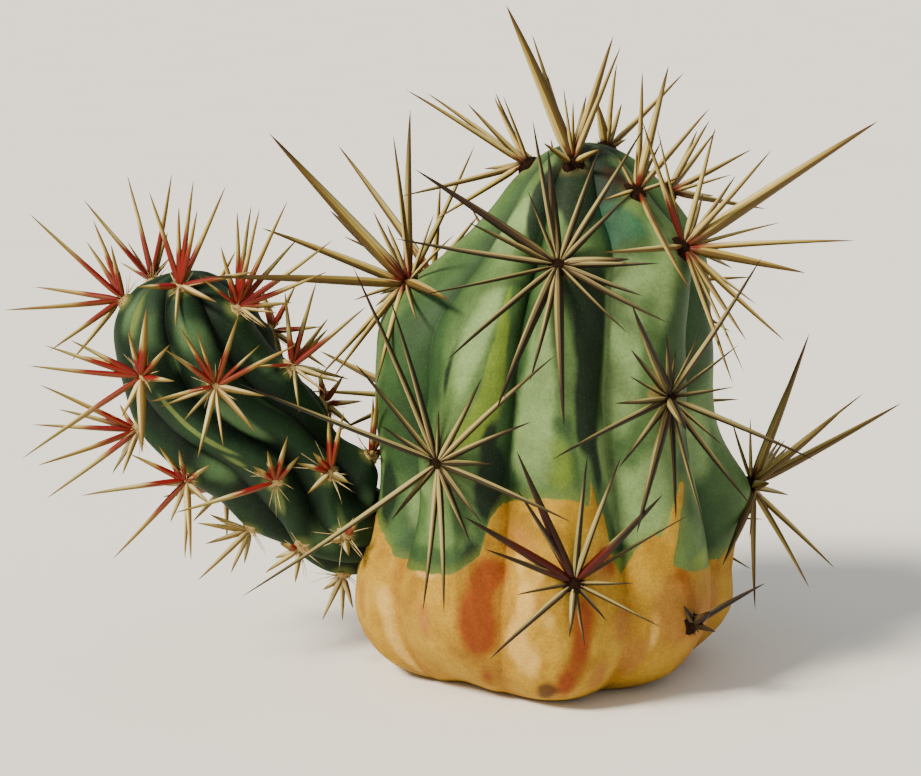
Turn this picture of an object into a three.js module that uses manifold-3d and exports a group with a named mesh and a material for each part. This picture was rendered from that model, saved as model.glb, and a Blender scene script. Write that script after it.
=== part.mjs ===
// A ribbed hedgehog cactus lifted from the ground: a broad main stem on a flat corky base, a side
// branch on its left flank, and a cluster of spines on a felt pad at every areole of the two stems.
// Millimetres, +Z up, +X to the right and -Y towards the viewer of the plate that it was drawn from.
// The origin is on the flat underside, under the axis of the main stem.

import * as THREE from 'three';
import { mergeVertices } from 'three/addons/utils/BufferGeometryUtils.js';
import Module from 'manifold-3d';

const wasm = await Module();
wasm.setup();

// Driving dimensions
const SIGHT_TILT = 12; // degrees that the plate looks down on the plant
const CLEARANCE = 0.35; // air between a stem and what sits on it
const FURROW_SHARPNESS = 0.8; // below 1 the ribs are broad and the furrows narrow
const SAMPLES_PER_RIB = 8;
const LOWEST_TIP = 3; // no spine on the far side reaches lower than this above the ground
const AHEAD_SHARES = [0.04, 0.2, 0.1, 0.28, 0.14]; // how much further forward each spine in turn points
const ASTRIDE_SHARES = [0.3, -0.3, 0.1, 0.45, -0.12, -0.45, 0.2]; // the same on the plant's flanks
const BACKWARD_LEAN = 0.8; // how far the spines on the far side lean away from the viewer
const PAD_SIDES = 6;
const PAD_ROWS = 3;
const ROOT_SPREAD = 0.65; // how far from the pad's centre the spines spring, as a share of its radius
const ROOT_RISE = 0.1; // how far above the skin's clearance a spine's root starts
const WIDEST_SHARE = 0.14; // how far along a spine it is widest
const FLANK_FACING = 0.3; // an areole that faces the viewer less than this is on the plant's flank
// The spines of an areole on the far side: one in so many is a central one that stands out, and each
// range is drawn from evenly
const FAN = {
  centralEvery: 4,
  shuffle: 0.3, // of the angle between neighbours
  radialSlope: [0.28, 0.48], // radians off the skin
  centralSlope: [0.9, 1.4],
  radialShare: 0.62, // of a central spine's length
  lengthShare: [0.8, 1.2],
};

// The spines of a flank's areole that point away from the viewer
const UNSEEN = {
  upward: [0.25, 0.75],
  outward: [0.45, 0.85],
  lengthShare: [0.5, 0.85],
};

const AXIS_STEP = 1; // how far along a stem its direction is read, in millimetres
const SEAT_STEP = 1.5; // how far along a rib an areole's facing is read
const SEAT_SHARE = 0.12; // how far across it, as a share of the way to the next rib
const WELD = 1e-4; // points closer than this are one

const THIN = 0.42; // radius of a weak radial spine where it is widest
const PLAIN = 0.66;
const THICK = 1; // a central spine's
const STOUT = 1.4; // the few great spines' of the shoulders and the crown

// The main stem's stations: height, centre, radius, how much it bulges to the right, furrow depth
const MAIN_STATIONS = [
  { level: 0, at: [-1, 5, 0], radius: 27.4, lean: 0, furrow: 0.03 },
  { level: 4, at: [-0.6, 3, 4], radius: 32.2, lean: 0, furrow: 0.04 },
  { level: 12, at: [0, 0.8, 12], radius: 36.2, lean: 0, furrow: 0.06 },
  { level: 20, at: [0, 0, 20], radius: 37.6, lean: 0.01, furrow: 0.08 },
  { level: 28, at: [0, 0, 28], radius: 36.8, lean: 0.05, furrow: 0.12 },
  { level: 36, at: [0, 0, 36], radius: 35.6, lean: 0.07, furrow: 0.16 },
  { level: 44, at: [0, 0, 44], radius: 34.6, lean: 0.05, furrow: 0.17 },
  { level: 54, at: [0, 0, 54], radius: 34.2, lean: 0.01, furrow: 0.17 },
  { level: 64, at: [0, 0, 64], radius: 33.9, lean: 0, furrow: 0.17 },
  { level: 72, at: [0.4, 0, 72], radius: 32.6, lean: 0.01, furrow: 0.17 },
  { level: 79, at: [2, 0, 79], radius: 29.2, lean: 0.06, furrow: 0.18 },
  { level: 86, at: [4.2, 0, 86], radius: 24.4, lean: 0.12, furrow: 0.19 },
  { level: 93, at: [5.6, 0, 93], radius: 18.6, lean: 0.14, furrow: 0.2 },
  { level: 99, at: [6.5, 0, 99], radius: 13.6, lean: 0.12, furrow: 0.2 },
  { level: 103.4, at: [7.1, 0, 103.4], radius: 8.6, lean: 0.1, furrow: 0.18 },
  { level: 105.6, at: [7.4, 0, 105.6], radius: 4.2, lean: 0.05, furrow: 0.1 },
  { level: 106.2, at: [7.5, 0, 106.2], radius: 0, lean: 0, furrow: 0 },
];

// Crest of each rib of the main stem, in degrees to the right of the viewer, at some heights
const MAIN_RIBS = [
  [[0, 7], [40, 7], [64, 4], [86, -5], [104, -12]],
  [[0, 45], [20, 45], [61, 39], [80, 48], [88, 51], [98, 41], [106, 38]],
  [[0, 94], [37, 94], [70, 92], [106, 98]],
  [[0, 138], [106, 140]],
  [[0, 183], [106, 184]],
  [[0, 229], [106, 226]],
  [[0, 298], [20, 283], [44, 276], [62, 286], [78, 276], [106, 258]],
  [[0, 324], [48, 325], [62, 331], [76, 336], [106, 314]],
];

// Swellings, and one hollow, of the corky base that carry no spines
const MAIN_LOBES = [
  { rib: 0, level: 4, swell: 4 },
  { rib: 7, level: 0, swell: -3.4 },
  { rib: 1, level: 2, swell: 1.6 },
  { rib: 2, level: 10, swell: 2.6 },
  { rib: 6, level: 9, swell: 2.2 },
];

// The branch's stations, counted in millimetres along its axis from the neck
const BRANCH_STATIONS = [
  { level: 0, at: [-31, 2, 29.5], radius: 5.6, lean: 0, furrow: 0.08 },
  { level: 4.5, at: [-35.4, 1.5, 29.2], radius: 9.6, lean: 0, furrow: 0.12 },
  { level: 9.5, at: [-40, 1, 31.2], radius: 11.4, lean: 0, furrow: 0.16 },
  { level: 15.5, at: [-45, 0.5, 34.8], radius: 11.8, lean: 0, furrow: 0.19 },
  { level: 22.5, at: [-50.2, 0, 39.2], radius: 12.5, lean: 0, furrow: 0.2 },
  { level: 30.5, at: [-55.8, 0, 45.2], radius: 14.6, lean: 0, furrow: 0.2 },
  { level: 39, at: [-61.6, 0, 51.4], radius: 15.4, lean: 0, furrow: 0.2 },
  { level: 47, at: [-66.4, 0, 57.8], radius: 15.4, lean: 0, furrow: 0.2 },
  { level: 54.5, at: [-69.6, 0, 64.6], radius: 15.3, lean: 0, furrow: 0.2 },
  { level: 61.5, at: [-71.2, 0, 71.4], radius: 14.4, lean: 0, furrow: 0.2 },
  { level: 66.5, at: [-71.9, 0, 76.4], radius: 10.8, lean: 0, furrow: 0.2 },
  { level: 69.5, at: [-72.2, 0, 79.4], radius: 6.2, lean: 0, furrow: 0.14 },
  { level: 70.9, at: [-72.4, 0, 80.8], radius: 0, lean: 0, furrow: 0 },
];

const BRANCH_RIBS = [
  [[0, -75], [20, -71], [36, -54], [50, -84], [70, -84]],
  [[0, -41], [13, -41], [27, 0], [52, -31], [70, -35]],
  [[0, -5], [9, -5], [22, 38], [46, 13], [70, 6]],
  [[0, 60], [17, 88], [42, 70], [62, 54], [70, 54]],
  [[0, 128], [42, 124], [70, 116]],
  [[0, 176], [70, 172]],
  [[0, 228], [36, 238], [50, 224], [70, 224]],
];

// One flowing value between neighbouring stations, with no kink at a station
function flow(before, from, to, after, share) {
  const squared = share * share;
  const cubed = squared * share;
  return 0.5 * (2 * from + (to - before) * share
    + (2 * before - 5 * from + 4 * to - after) * squared
    + (3 * from - before - 3 * to + after) * cubed);
}

function stationAt(stations, level) {
  const last = stations.length - 1;
  let index = 0;
  while (index < last - 1 && stations[index + 1].level < level) index += 1;
  const near = [index - 1, index, index + 1, index + 2];
  const four = near.map((which) => stations[Math.min(Math.max(which, 0), last)]);
  const share = (level - four[1].level) / (four[2].level - four[1].level);
  const blend = (read) => flow(...four.map(read), share);
  return {
    centre: new THREE.Vector3(...[0, 1, 2].map((axis) => blend((one) => one.at[axis]))),
    radius: Math.max(blend((one) => one.radius), 0),
    lean: blend((one) => one.lean),
    furrow: blend((one) => one.furrow),
  };
}

function crestAt(rib, level) {
  let index = 0;
  while (index < rib.length - 2 && rib[index + 1][0] < level) index += 1;
  const [from, to] = [rib[index], rib[index + 1]];
  const share = THREE.MathUtils.smoothstep(level, from[0], to[0]);
  return THREE.MathUtils.lerp(from[1], to[1], share);
}

// The directions that a ring of the stem lies in: rightwards and towards the viewer
function ringFrame(stem, level) {
  const ahead = stationAt(stem.stations, level + AXIS_STEP).centre;
  const behind = stationAt(stem.stations, level - AXIS_STEP).centre;
  const along = stem.upright ? new THREE.Vector3(0, 0, 1) : ahead.sub(behind).normalize();
  const right = new THREE.Vector3(along.z, 0, -along.x).normalize();
  const near = new THREE.Vector3().crossVectors(right, along).normalize();
  return { right, near };
}

// How far an areole's swelling lifts the crest of its own rib
function swelling(stem, ribIndex, level) {
  const own = [...stem.areoles, ...stem.lobes].filter((bulge) => bulge.rib === ribIndex);
  return own.reduce((sum, bulge) => {
    const away = (level - bulge.level) / stem.swellingLength;
    return sum + (bulge.swell ?? stem.swell) * Math.exp(-away * away);
  }, 0);
}

// A point of the stem's skin, at a share of the way from one rib's crest to the next
function skinPoint(stem, level, ribIndex, share) {
  const count = stem.ribs.length;
  const next = (ribIndex + 1) % count;
  const from = crestAt(stem.ribs[ribIndex], level);
  const turn = next === 0 ? 360 : 0;
  const angle = THREE.MathUtils.degToRad(from + (crestAt(stem.ribs[next], level) + turn - from) * share);
  const station = stationAt(stem.stations, level);
  const crown = Math.abs(Math.cos(Math.PI * share)) ** FURROW_SHARPNESS;
  const lift = swelling(stem, share < 0.5 ? ribIndex : next, level) * crown * crown;
  const fade = Math.min(station.radius / stem.swellingLength, 1);
  const base = station.radius * (1 + station.lean * Math.sin(angle)) * (1 - station.furrow * (1 - crown));
  const reach = base + lift * fade + stem.grow * Math.min(station.radius, 1);
  const { right, near } = ringFrame(stem, level);
  return station.centre.clone()
    .addScaledVector(right, Math.sin(angle) * reach)
    .addScaledVector(near, Math.cos(angle) * reach);
}

function ringLevels(stem) {
  const levels = [];
  for (let index = 0; index < stem.stations.length - 1; index += 1) {
    const [from, to] = [stem.stations[index].level, stem.stations[index + 1].level];
    for (let step = 0; step < stem.steps; step += 1) {
      levels.push(THREE.MathUtils.lerp(from, to, step / stem.steps));
    }
  }
  return levels;
}

function stemGeometry(stem) {
  const levels = ringLevels(stem);
  const around = stem.ribs.length * SAMPLES_PER_RIB;
  const points = [];
  for (const level of levels) {
    for (let step = 0; step < around; step += 1) {
      const ribIndex = Math.floor(step / SAMPLES_PER_RIB);
      points.push(skinPoint(stem, level, ribIndex, (step % SAMPLES_PER_RIB) / SAMPLES_PER_RIB));
    }
  }
  const first = points.push(stationAt(stem.stations, levels[0]).centre) - 1;
  const tip = stationAt(stem.stations, stem.stations.at(-1).level).centre;
  tip.z += stem.grow;
  const last = points.push(tip) - 1;
  const faces = [];
  for (let step = 0; step < around; step += 1) {
    const next = (step + 1) % around;
    faces.push(first, next, step);
    for (let row = 0; row < levels.length - 1; row += 1) {
      const low = row * around;
      const high = low + around;
      faces.push(low + step, low + next, high + next, low + step, high + next, high + step);
    }
    const top = (levels.length - 1) * around;
    faces.push(top + step, top + next, last);
  }
  return indexed(points, faces);
}

function indexed(points, faces) {
  const geometry = new THREE.BufferGeometry();
  const places = points.flatMap((point) => [...point]);
  geometry.setAttribute('position', new THREE.Float32BufferAttribute(places, 3));
  geometry.setIndex(faces);
  return geometry;
}

function solidOf(geometry) {
  const plain = geometry.clone();
  plain.deleteAttribute('normal');
  plain.deleteAttribute('uv');
  const merged = mergeVertices(plain, WELD);
  return new wasm.Manifold(new wasm.Mesh({
    numProp: 3,
    vertProperties: new Float32Array(merged.attributes.position.array),
    triVerts: new Uint32Array(merged.index.array),
  }));
}

function geometryOf(solid) {
  const mesh = solid.getMesh();
  const geometry = new THREE.BufferGeometry();
  const places = [];
  for (let vertex = 0; vertex < mesh.numVert; vertex += 1) {
    places.push(...mesh.vertProperties.subarray(vertex * mesh.numProp, vertex * mesh.numProp + 3));
  }
  geometry.setAttribute('position', new THREE.Float32BufferAttribute(places, 3));
  geometry.setIndex([...mesh.triVerts]);
  return geometry;
}

// Where an areole sits on its rib's crest, and which way it faces
function seatOf(stem, areole) {
  const count = stem.ribs.length;
  const before = (areole.rib + count - 1) % count;
  const point = skinPoint(stem, areole.level, areole.rib, 0);
  const along = skinPoint(stem, areole.level + SEAT_STEP, areole.rib, 0)
    .sub(skinPoint(stem, areole.level - SEAT_STEP, areole.rib, 0));
  const across = skinPoint(stem, areole.level, areole.rib, SEAT_SHARE)
    .sub(skinPoint(stem, areole.level, before, 1 - SEAT_SHARE));
  const facing = new THREE.Vector3().crossVectors(across, along).normalize();
  return { point, facing };
}

// A three-sided needle: it comes out of the pad at its foot, is widest a little way along the line
// from the collar above the foot to its tip, and tapers from there
function needle(foot, collar, tip, radius) {
  const along = tip.clone().sub(collar).normalize();
  const turn = new THREE.Quaternion().setFromUnitVectors(new THREE.Vector3(0, 0, 1), along);
  const middle = collar.clone().lerp(tip, WIDEST_SHARE);
  const points = [0, 1, 2].map((corner) => {
    const angle = corner * Math.PI * 2 / 3;
    const out = new THREE.Vector3(Math.cos(angle) * radius, Math.sin(angle) * radius, 0);
    return out.applyQuaternion(turn).add(middle);
  });
  return indexed([...points, tip, foot], [0, 1, 3, 1, 2, 3, 2, 0, 3, 1, 0, 4, 2, 1, 4, 0, 2, 4]);
}

const tilt = THREE.MathUtils.degToRad(SIGHT_TILT);
const PLATE_UP = new THREE.Vector3(0, Math.sin(tilt), Math.cos(tilt));
const PLATE_NEAR = new THREE.Vector3(0, -Math.cos(tilt), Math.sin(tilt));

// A spine drawn on the plate as so far right and so far up. Unless its reach towards the viewer is
// given, it is the least that lifts it off the skin, and a share more or less for each in turn, so
// that a cluster on the plant's flank spreads to the front and the back as well.
function drawnReach([right, up, , near], index, facing, lift) {
  const flat = new THREE.Vector3(right, 0, 0).addScaledVector(PLATE_UP, up);
  const length = flat.length();
  const towards = THREE.MathUtils.clamp(facing.dot(PLATE_NEAR), 0, 1);
  const wanted = lift * length - flat.dot(facing);
  const rise = towards > FLANK_FACING ? Math.min(Math.max(wanted, 0) / towards, length) : 0;
  const ahead = AHEAD_SHARES[index % AHEAD_SHARES.length] * towards;
  const astride = ASTRIDE_SHARES[index % ASTRIDE_SHARES.length] * (1 - towards);
  return flat.addScaledVector(PLATE_NEAR, near ?? rise + (ahead + astride) * length);
}

// Evenly spread draws from ranges, the same on every run
function draws(seed) {
  const [factor, offset, span] = [1664525, 1013904223, 2 ** 32];
  let state = seed;
  return ([from, to]) => {
    state = (state * factor + offset) % span;
    return from + (to - from) * state / span;
  };
}

// The spines of an areole that the plate doesn't show: a ring that spreads low, round a few that
// stand out. They lean to the back, so that the outline on the plate stays as it is.
function fannedReaches(areole, { point, facing }, stem) {
  const draw = draws(areole.seed);
  const aim = facing.clone().addScaledVector(PLATE_NEAR, -BACKWARD_LEAN).normalize();
  const across = new THREE.Vector3().crossVectors(aim, new THREE.Vector3(0, 0, 1)).normalize();
  const upwards = new THREE.Vector3().crossVectors(across, aim).normalize();
  const reaches = [];
  for (let index = 0; index < areole.fan; index += 1) {
    const central = (index + 1) % FAN.centralEvery === 0;
    const angle = (index + draw([0, FAN.shuffle])) / areole.fan * Math.PI * 2;
    const slope = draw(central ? FAN.centralSlope : FAN.radialSlope);
    const share = draw(FAN.lengthShare) * (central ? 1 : FAN.radialShare);
    const length = (areole.fanLength ?? stem.fanLength) * share;
    const reach = across.clone().multiplyScalar(Math.cos(angle) * Math.cos(slope))
      .addScaledVector(upwards, Math.sin(angle) * Math.cos(slope))
      .addScaledVector(aim, Math.sin(slope))
      .multiplyScalar(length);
    reach.z = Math.max(reach.z, LOWEST_TIP - point.z);
    reaches.push({ reach, girth: central ? THICK : PLAIN });
  }
  return reaches;
}

// The few spines of a cluster on the plant's flank that point away from the viewer
function unseenReaches(areole, { point, facing }, stem) {
  const draw = draws(Math.round(areole.level * 10) + areole.rib);
  const reaches = [];
  for (let index = 0; index < (areole.unseen ?? 0); index += 1) {
    const upward = draw(UNSEEN.upward) * (index % 2 === 0 ? 1 : -1);
    const reach = facing.clone().multiplyScalar(draw(UNSEEN.outward))
      .addScaledVector(PLATE_NEAR, -1)
      .addScaledVector(PLATE_UP, upward)
      .normalize()
      .multiplyScalar(stem.fanLength * draw(UNSEEN.lengthShare));
    reach.z = Math.max(reach.z, LOWEST_TIP - point.z);
    reaches.push({ reach, girth: PLAIN });
  }
  return reaches;
}

function reachesOf(areole, seat, stem) {
  if (areole.fan) return fannedReaches(areole, seat, stem);
  const drawn = areole.spines.map((spine, index) => ({
    reach: drawnReach(spine, index, seat.facing, stem.lift),
    girth: spine[2] ?? PLAIN,
  }));
  return [...drawn, ...unseenReaches(areole, seat, stem)];
}

function clusterSolid(areole, stem) {
  const { point, facing } = seatOf(stem, areole);
  const pad = new THREE.SphereGeometry(1, PAD_SIDES, PAD_ROWS);
  pad.rotateX(Math.PI / 2);
  pad.scale(stem.padRadius, stem.padRadius, stem.padHeight);
  pad.applyQuaternion(new THREE.Quaternion().setFromUnitVectors(new THREE.Vector3(0, 0, 1), facing));
  pad.translate(...point);
  let cluster = solidOf(pad).subtract(stem.grown);
  for (const { reach, girth } of reachesOf(areole, { point, facing }, stem)) {
    const radius = girth * stem.girth;
    const sideways = reach.clone().addScaledVector(facing, -reach.dot(facing));
    const spread = Math.min(sideways.length() / reach.length(), 1) * stem.padRadius * ROOT_SPREAD;
    const foot = point.clone().addScaledVector(facing, CLEARANCE + ROOT_RISE)
      .addScaledVector(sideways.normalize(), spread);
    const collar = foot.clone().addScaledVector(facing, radius);
    cluster = cluster.add(solidOf(needle(foot, collar, point.clone().add(reach), radius)));
  }
  return cluster;
}

// The areoles of the main stem: rib, height, and each spine as drawn: right, up, girth, nearer
const MAIN_AREOLES = [
  { name: 'spines_front_upper', rib: 0, level: 86, spines: [
    [-27, 18, THICK], [-17, 8], [-31, 5], [-26, -6, THIN], [-21, -18], [-12, -27, THICK], [-6, -22],
    [0, -30, THICK], [12, -13, THIN], [19, -11], [15, -6], [18, 0], [13, 1, THICK], [-6, 14, THIN],
    [-5, 27], [-2, 22, THICK], [8, 23], [16, 26], [13, 13]] },
  { name: 'spines_left_shoulder', rib: 6, level: 78.5, unseen: 4, swell: 0.8, spines: [
    [-27, 29, STOUT], [-16, 15, THICK], [-29, 11, THICK], [-40, 1, THICK, 12], [-6, -2, THIN],
    [0, 36, THICK], [-3, 29], [-2, 22, THIN], [13, 28], [5, 14, THIN], [9, 9, THIN, 15], [8, -4, THICK, 24],
    [2, -8, THIN, 19], [-18, -19], [-15, -19], [-6, -20, PLAIN, 15]] },
  { name: 'spines_left_lower', rib: 7, level: 49, spines: [
    [-16, 37], [-9, 31], [-16, 19], [-37, 15], [-11, 7], [0, 10, THIN], [8, 16], [21, 20], [17, 8],
    [10, 0], [24, -10], [8, -11], [6, -15], [1, -28], [-3, -28], [-9, -11], [-37, -25]] },
  { name: 'spines_right_middle', rib: 1, level: 61, spines: [
    [-8, 17, THICK], [-8, 9], [-8, 4, THIN], [-11, -1], [-23, -11], [-10, -13], [-7, -25, THICK],
    [1, -23], [2, -6, THICK, 16], [7, -26, THIN], [15, -20], [10, -9, THIN], [28, -12], [12, 2, THIN],
    [13, 10, THIN], [16, 26, PLAIN, 15], [6, 13, THIN], [-1, 12], [1, 9, THIN]] },
  { name: 'spines_front_low', rib: 0, level: 28, spines: [
    [-11, 25, THICK], [-11, 18], [-21, 13, THICK], [-17, 7], [-11, -2, THIN], [-16, -14], [-1, -10],
    [2, -12, THIN], [6, -7, THIN], [16, -8, THIN], [11, 0, THIN], [16, 17, THICK], [21, 13, THIN],
    [8, 24], [2, 24]] },
  { name: 'spines_right_low', rib: 2, level: 36, unseen: 5, swell: 4, spines: [
    [11, 31, THICK], [10, 23], [23, 19], [17, 15, THICK], [32, 17, THICK], [-3, 14, THIN],
    [0, 14, THIN], [-7, -15, THICK, 16], [-1, -10, THIN, 10], [1, -25], [11, -20], [18, -17],
    [3, 1, THICK, 10]] },
  { name: 'spines_right_shoulder', rib: 1, level: 88, unseen: 3, spines: [
    [-8, 24], [-5, 23, THIN], [6, 23], [16, 18], [37, 24, STOUT], [19, 5, THIN], [32, 1],
    [23, -5, THICK], [14, -11, THIN], [19, -18], [11, -18], [10, -24, THIN], [8, -26], [5, -17, THIN],
    [-17, -2]] },
  { name: 'spines_crown_front', rib: 0, level: 103.2, swell: 0.5, spines: [
    [-13, 30, STOUT], [-8, 25], [-5, 17, THIN], [-2, 14, THIN], [0, 12, THIN], [8, 25, THICK],
    [9, 22], [5, 2, PLAIN, 8], [-6, 3, PLAIN, 9], [3, 14, PLAIN, -7], [-4, 12, PLAIN, -6]] },
  { name: 'spines_crown_left', rib: 6, level: 101.3, unseen: 3, swell: 0.5, spines: [
    [-24, 14], [-20, 15], [-12, 12], [-5, 13, THIN], [-25, -6, PLAIN, -2], [-10, -5, THIN], [-18, -11]] },
  { name: 'spines_crown_right', rib: 1, level: 98, swell: 0.5, spines: [
    [6, 24, THICK], [14, 16], [1, 23], [-4, 7, THIN], [9, -20, PLAIN, 18], [5, 10, THIN],
    [0, 8, THIN], [9, 3, THIN], [-7, -2, THIN, 5]] },
  { name: 'spines_crown_back', rib: 3, level: 104, unseen: 3, swell: 0.5, spines: [
    [-2, 9, THICK], [16, 16], [3, 9], [1, 7, THIN], [4, 2, THIN]] },
  { name: 'spines_crown_edge', rib: 2, level: 96, unseen: 3, swell: 0.5, spines: [
    [16, 8], [20, -3], [8, 14], [12, 3, THIN]] },
  { name: 'spines_old_base', rib: 1, level: 16.5, spines: [
    [14, 8], [3, 3, THICK, 7], [4, -1, PLAIN, 6], [-2, 4, PLAIN, 6]] },
  { name: 'spines_back_right_upper', rib: 3, level: 74, fan: 9, seed: 3 },
  { name: 'spines_back_right_middle', rib: 3, level: 48, fan: 9, seed: 14 },
  { name: 'spines_back_right_low', rib: 3, level: 22, fan: 9, seed: 25 },
  { name: 'spines_back_crown', rib: 4, level: 93, fan: 8, seed: 36, swell: 1, fanLength: 17 },
  { name: 'spines_back_upper', rib: 4, level: 68, fan: 9, seed: 47 },
  { name: 'spines_back_middle', rib: 4, level: 42, fan: 9, seed: 58 },
  { name: 'spines_back_low', rib: 4, level: 16, fan: 8, seed: 92, fanLength: 22 },
  { name: 'spines_back_left_upper', rib: 5, level: 76, fan: 9, seed: 69 },
  { name: 'spines_back_left_middle', rib: 5, level: 50, fan: 9, seed: 70 },
  { name: 'spines_back_left_low', rib: 5, level: 23, fan: 9, seed: 81 },
];

// The areoles of the side branch, by rib and by millimetres along it
const BRANCH_AREOLES = [
  { name: 'branch_spines_tip_left', rib: 0, level: 66.3, unseen: 3, swell: 0.4, spines: [
    [-18, 17], [-8, 12], [-6, 16], [-2, 11], [-1, 6, THIN], [-19, 3], [-23, -2], [-14, -10],
    [-11, -12]] },
  { name: 'branch_spines_tip_back', rib: 6, level: 68, unseen: 3, swell: 0.4, spines: [
    [-13, 16], [-6, 22], [-5, 8, THIN], [5, 21], [3, 10], [-7, 4, THIN], [4, 5, THIN]] },
  { name: 'branch_spines_tip_front', rib: 2, level: 68.5, swell: 0.4, spines: [
    [3, 21], [9, 20], [0, 16], [4, 15], [-6, 19], [-8, 0, PLAIN, 6], [0, -8, THIN, 8],
    [8, -3, PLAIN, 7], [16, 3, PLAIN, 7]] },
  { name: 'branch_spines_tip_right', rib: 3, level: 63, unseen: 2, swell: 0.6, spines: [
    [-3, 12], [0, 19], [3, 20], [5, 19], [10, 21], [12, 14], [19, 13], [18, 7], [-7, 6, THIN],
    [11, 1], [8, -1, THIN], [6, -4, THIN]] },
  { name: 'branch_spines_upper_left', rib: 1, level: 55, spines: [
    [-19, 6], [-14, 7], [-22, 2], [-2, 9], [2, 13, THICK], [6, 6], [7, -1], [-23, -16], [-4, -8],
    [0, -15, THICK]] },
  { name: 'branch_spines_upper_middle', rib: 2, level: 48.5, spines: [
    [5, 14], [-9, 7], [-6, 11], [-3, 11, THIN], [9, 8, THIN], [16, 8], [10, -2], [8, -9],
    [2, -12, THIN], [-3, -14], [-12, -3], [-10, -4, THIN], [-6, -7, THIN]] },
  { name: 'branch_spines_outer_left', rib: 0, level: 47, unseen: 3, spines: [
    [-19, 9], [-17, 4], [-21, 1], [-19, -7], [-19, -14], [-6, -9], [-3, -9]] },
  { name: 'branch_spines_upper_right', rib: 3, level: 40, unseen: 3, spines: [
    [-1, 15], [5, 17], [15, 12], [-8, 0, THIN, 6], [10, -3], [2, -9, THIN, 5], [7, -5, THIN]] },
  { name: 'branch_spines_lower_left', rib: 0, level: 37, unseen: 2, spines: [
    [-11, 5], [-5, 7], [-3, 4, THIN], [-20, -3], [-15, -16], [-1, -16], [1, -16], [5, -5], [5, 3],
    [-1, 6]] },
  { name: 'branch_spines_under_left', rib: 0, level: 22, unseen: 3, spines: [
    [-8, 3], [-11, 1], [-9, -3], [-10, -10], [-4, -9]] },
  { name: 'branch_spines_middle', rib: 1, level: 26, spines: [
    [-19, -6], [3, 9], [5, 5], [-1, 6], [-4, 3], [-4, 2, THIN]] },
  { name: 'branch_spines_lower_middle', rib: 2, level: 19.5, spines: [
    [0, 12], [3, 12], [-6, 2], [4, -2], [-3, 4], [-4, -4]] },
  { name: 'branch_spines_neck_left', rib: 1, level: 14, spines: [
    [-7, -5], [-1, -7], [-5, -2], [-4, 1]] },
  { name: 'branch_spines_neck_front', rib: 2, level: 9.5, spines: [
    [3, 3], [-3, -1], [1, -4]] },
  { name: 'branch_spines_lower_right', rib: 3, level: 12.5, unseen: 2, spines: [
    [1, 12, PLAIN, 13], [2, 13, PLAIN, 18], [1, 5, PLAIN, 12], [1, 1, PLAIN, 9]] },
  { name: 'branch_spines_neck_under', rib: 0, level: 6, unseen: 2, spines: [
    [-4, -9], [2, -7], [-4, -3]] },
  { name: 'branch_spines_back_right_upper', rib: 4, level: 50, fan: 7, seed: 5 },
  { name: 'branch_spines_back_right_low', rib: 4, level: 28, fan: 7, fanLength: 12, seed: 16 },
  { name: 'branch_spines_back_upper', rib: 5, level: 60, fan: 7, seed: 27 },
  { name: 'branch_spines_back_middle', rib: 5, level: 38, fan: 7, seed: 38 },
  { name: 'branch_spines_back_low', rib: 5, level: 17, fan: 6, seed: 49 },
  { name: 'branch_spines_back_left_upper', rib: 6, level: 52, fan: 7, seed: 60 },
  { name: 'branch_spines_back_left_low', rib: 6, level: 29, fan: 7, seed: 71 },
];

const MAIN_STEM = {
  upright: true,
  stations: MAIN_STATIONS,
  ribs: MAIN_RIBS,
  areoles: MAIN_AREOLES,
  lobes: MAIN_LOBES,
  steps: 2,
  swell: 2.2,
  swellingLength: 8,
  padRadius: 2.9,
  padHeight: 2.3,
  lift: 0.2,
  fanLength: 30,
  girth: 1,
  grow: 0,
};

const BRANCH_STEM = {
  upright: false,
  stations: BRANCH_STATIONS,
  ribs: BRANCH_RIBS,
  areoles: BRANCH_AREOLES,
  lobes: [],
  steps: 2,
  swell: 1.5,
  swellingLength: 5,
  padRadius: 2.5,
  padHeight: 2.1,
  lift: 0.25,
  fanLength: 19,
  girth: 0.8,
  grow: 0,
};

const skinGreen = new THREE.MeshStandardMaterial({ color: 0x5d8448, roughness: 0.55, metalness: 0 });
const branchGreen = new THREE.MeshStandardMaterial({ color: 0x35552f, roughness: 0.5, metalness: 0 });
const strawSpine = new THREE.MeshStandardMaterial({ color: 0xb79f72, roughness: 0.5, metalness: 0 });
const redSpine = new THREE.MeshStandardMaterial({ color: 0xb8503f, roughness: 0.5, metalness: 0 });

const cactus = new THREE.Group();

function addPiece(name, solid, material) {
  const mesh = new THREE.Mesh(geometryOf(solid), material);
  mesh.name = name;
  cactus.add(mesh);
}

function grownCopy(stem) {
  return solidOf(stemGeometry({ ...stem, grow: CLEARANCE }));
}

MAIN_STEM.grown = grownCopy(MAIN_STEM);
BRANCH_STEM.grown = grownCopy(BRANCH_STEM).add(MAIN_STEM.grown);

addPiece('main_stem', solidOf(stemGeometry(MAIN_STEM)), skinGreen);
addPiece('side_branch', solidOf(stemGeometry(BRANCH_STEM)).subtract(MAIN_STEM.grown), branchGreen);
for (const areole of MAIN_AREOLES) addPiece(areole.name, clusterSolid(areole, MAIN_STEM), strawSpine);
for (const areole of BRANCH_AREOLES) addPiece(areole.name, clusterSolid(areole, BRANCH_STEM), redSpine);

export default cactus;
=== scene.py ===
import math

import bpy
import numpy as np
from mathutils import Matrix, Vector, noise


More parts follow.
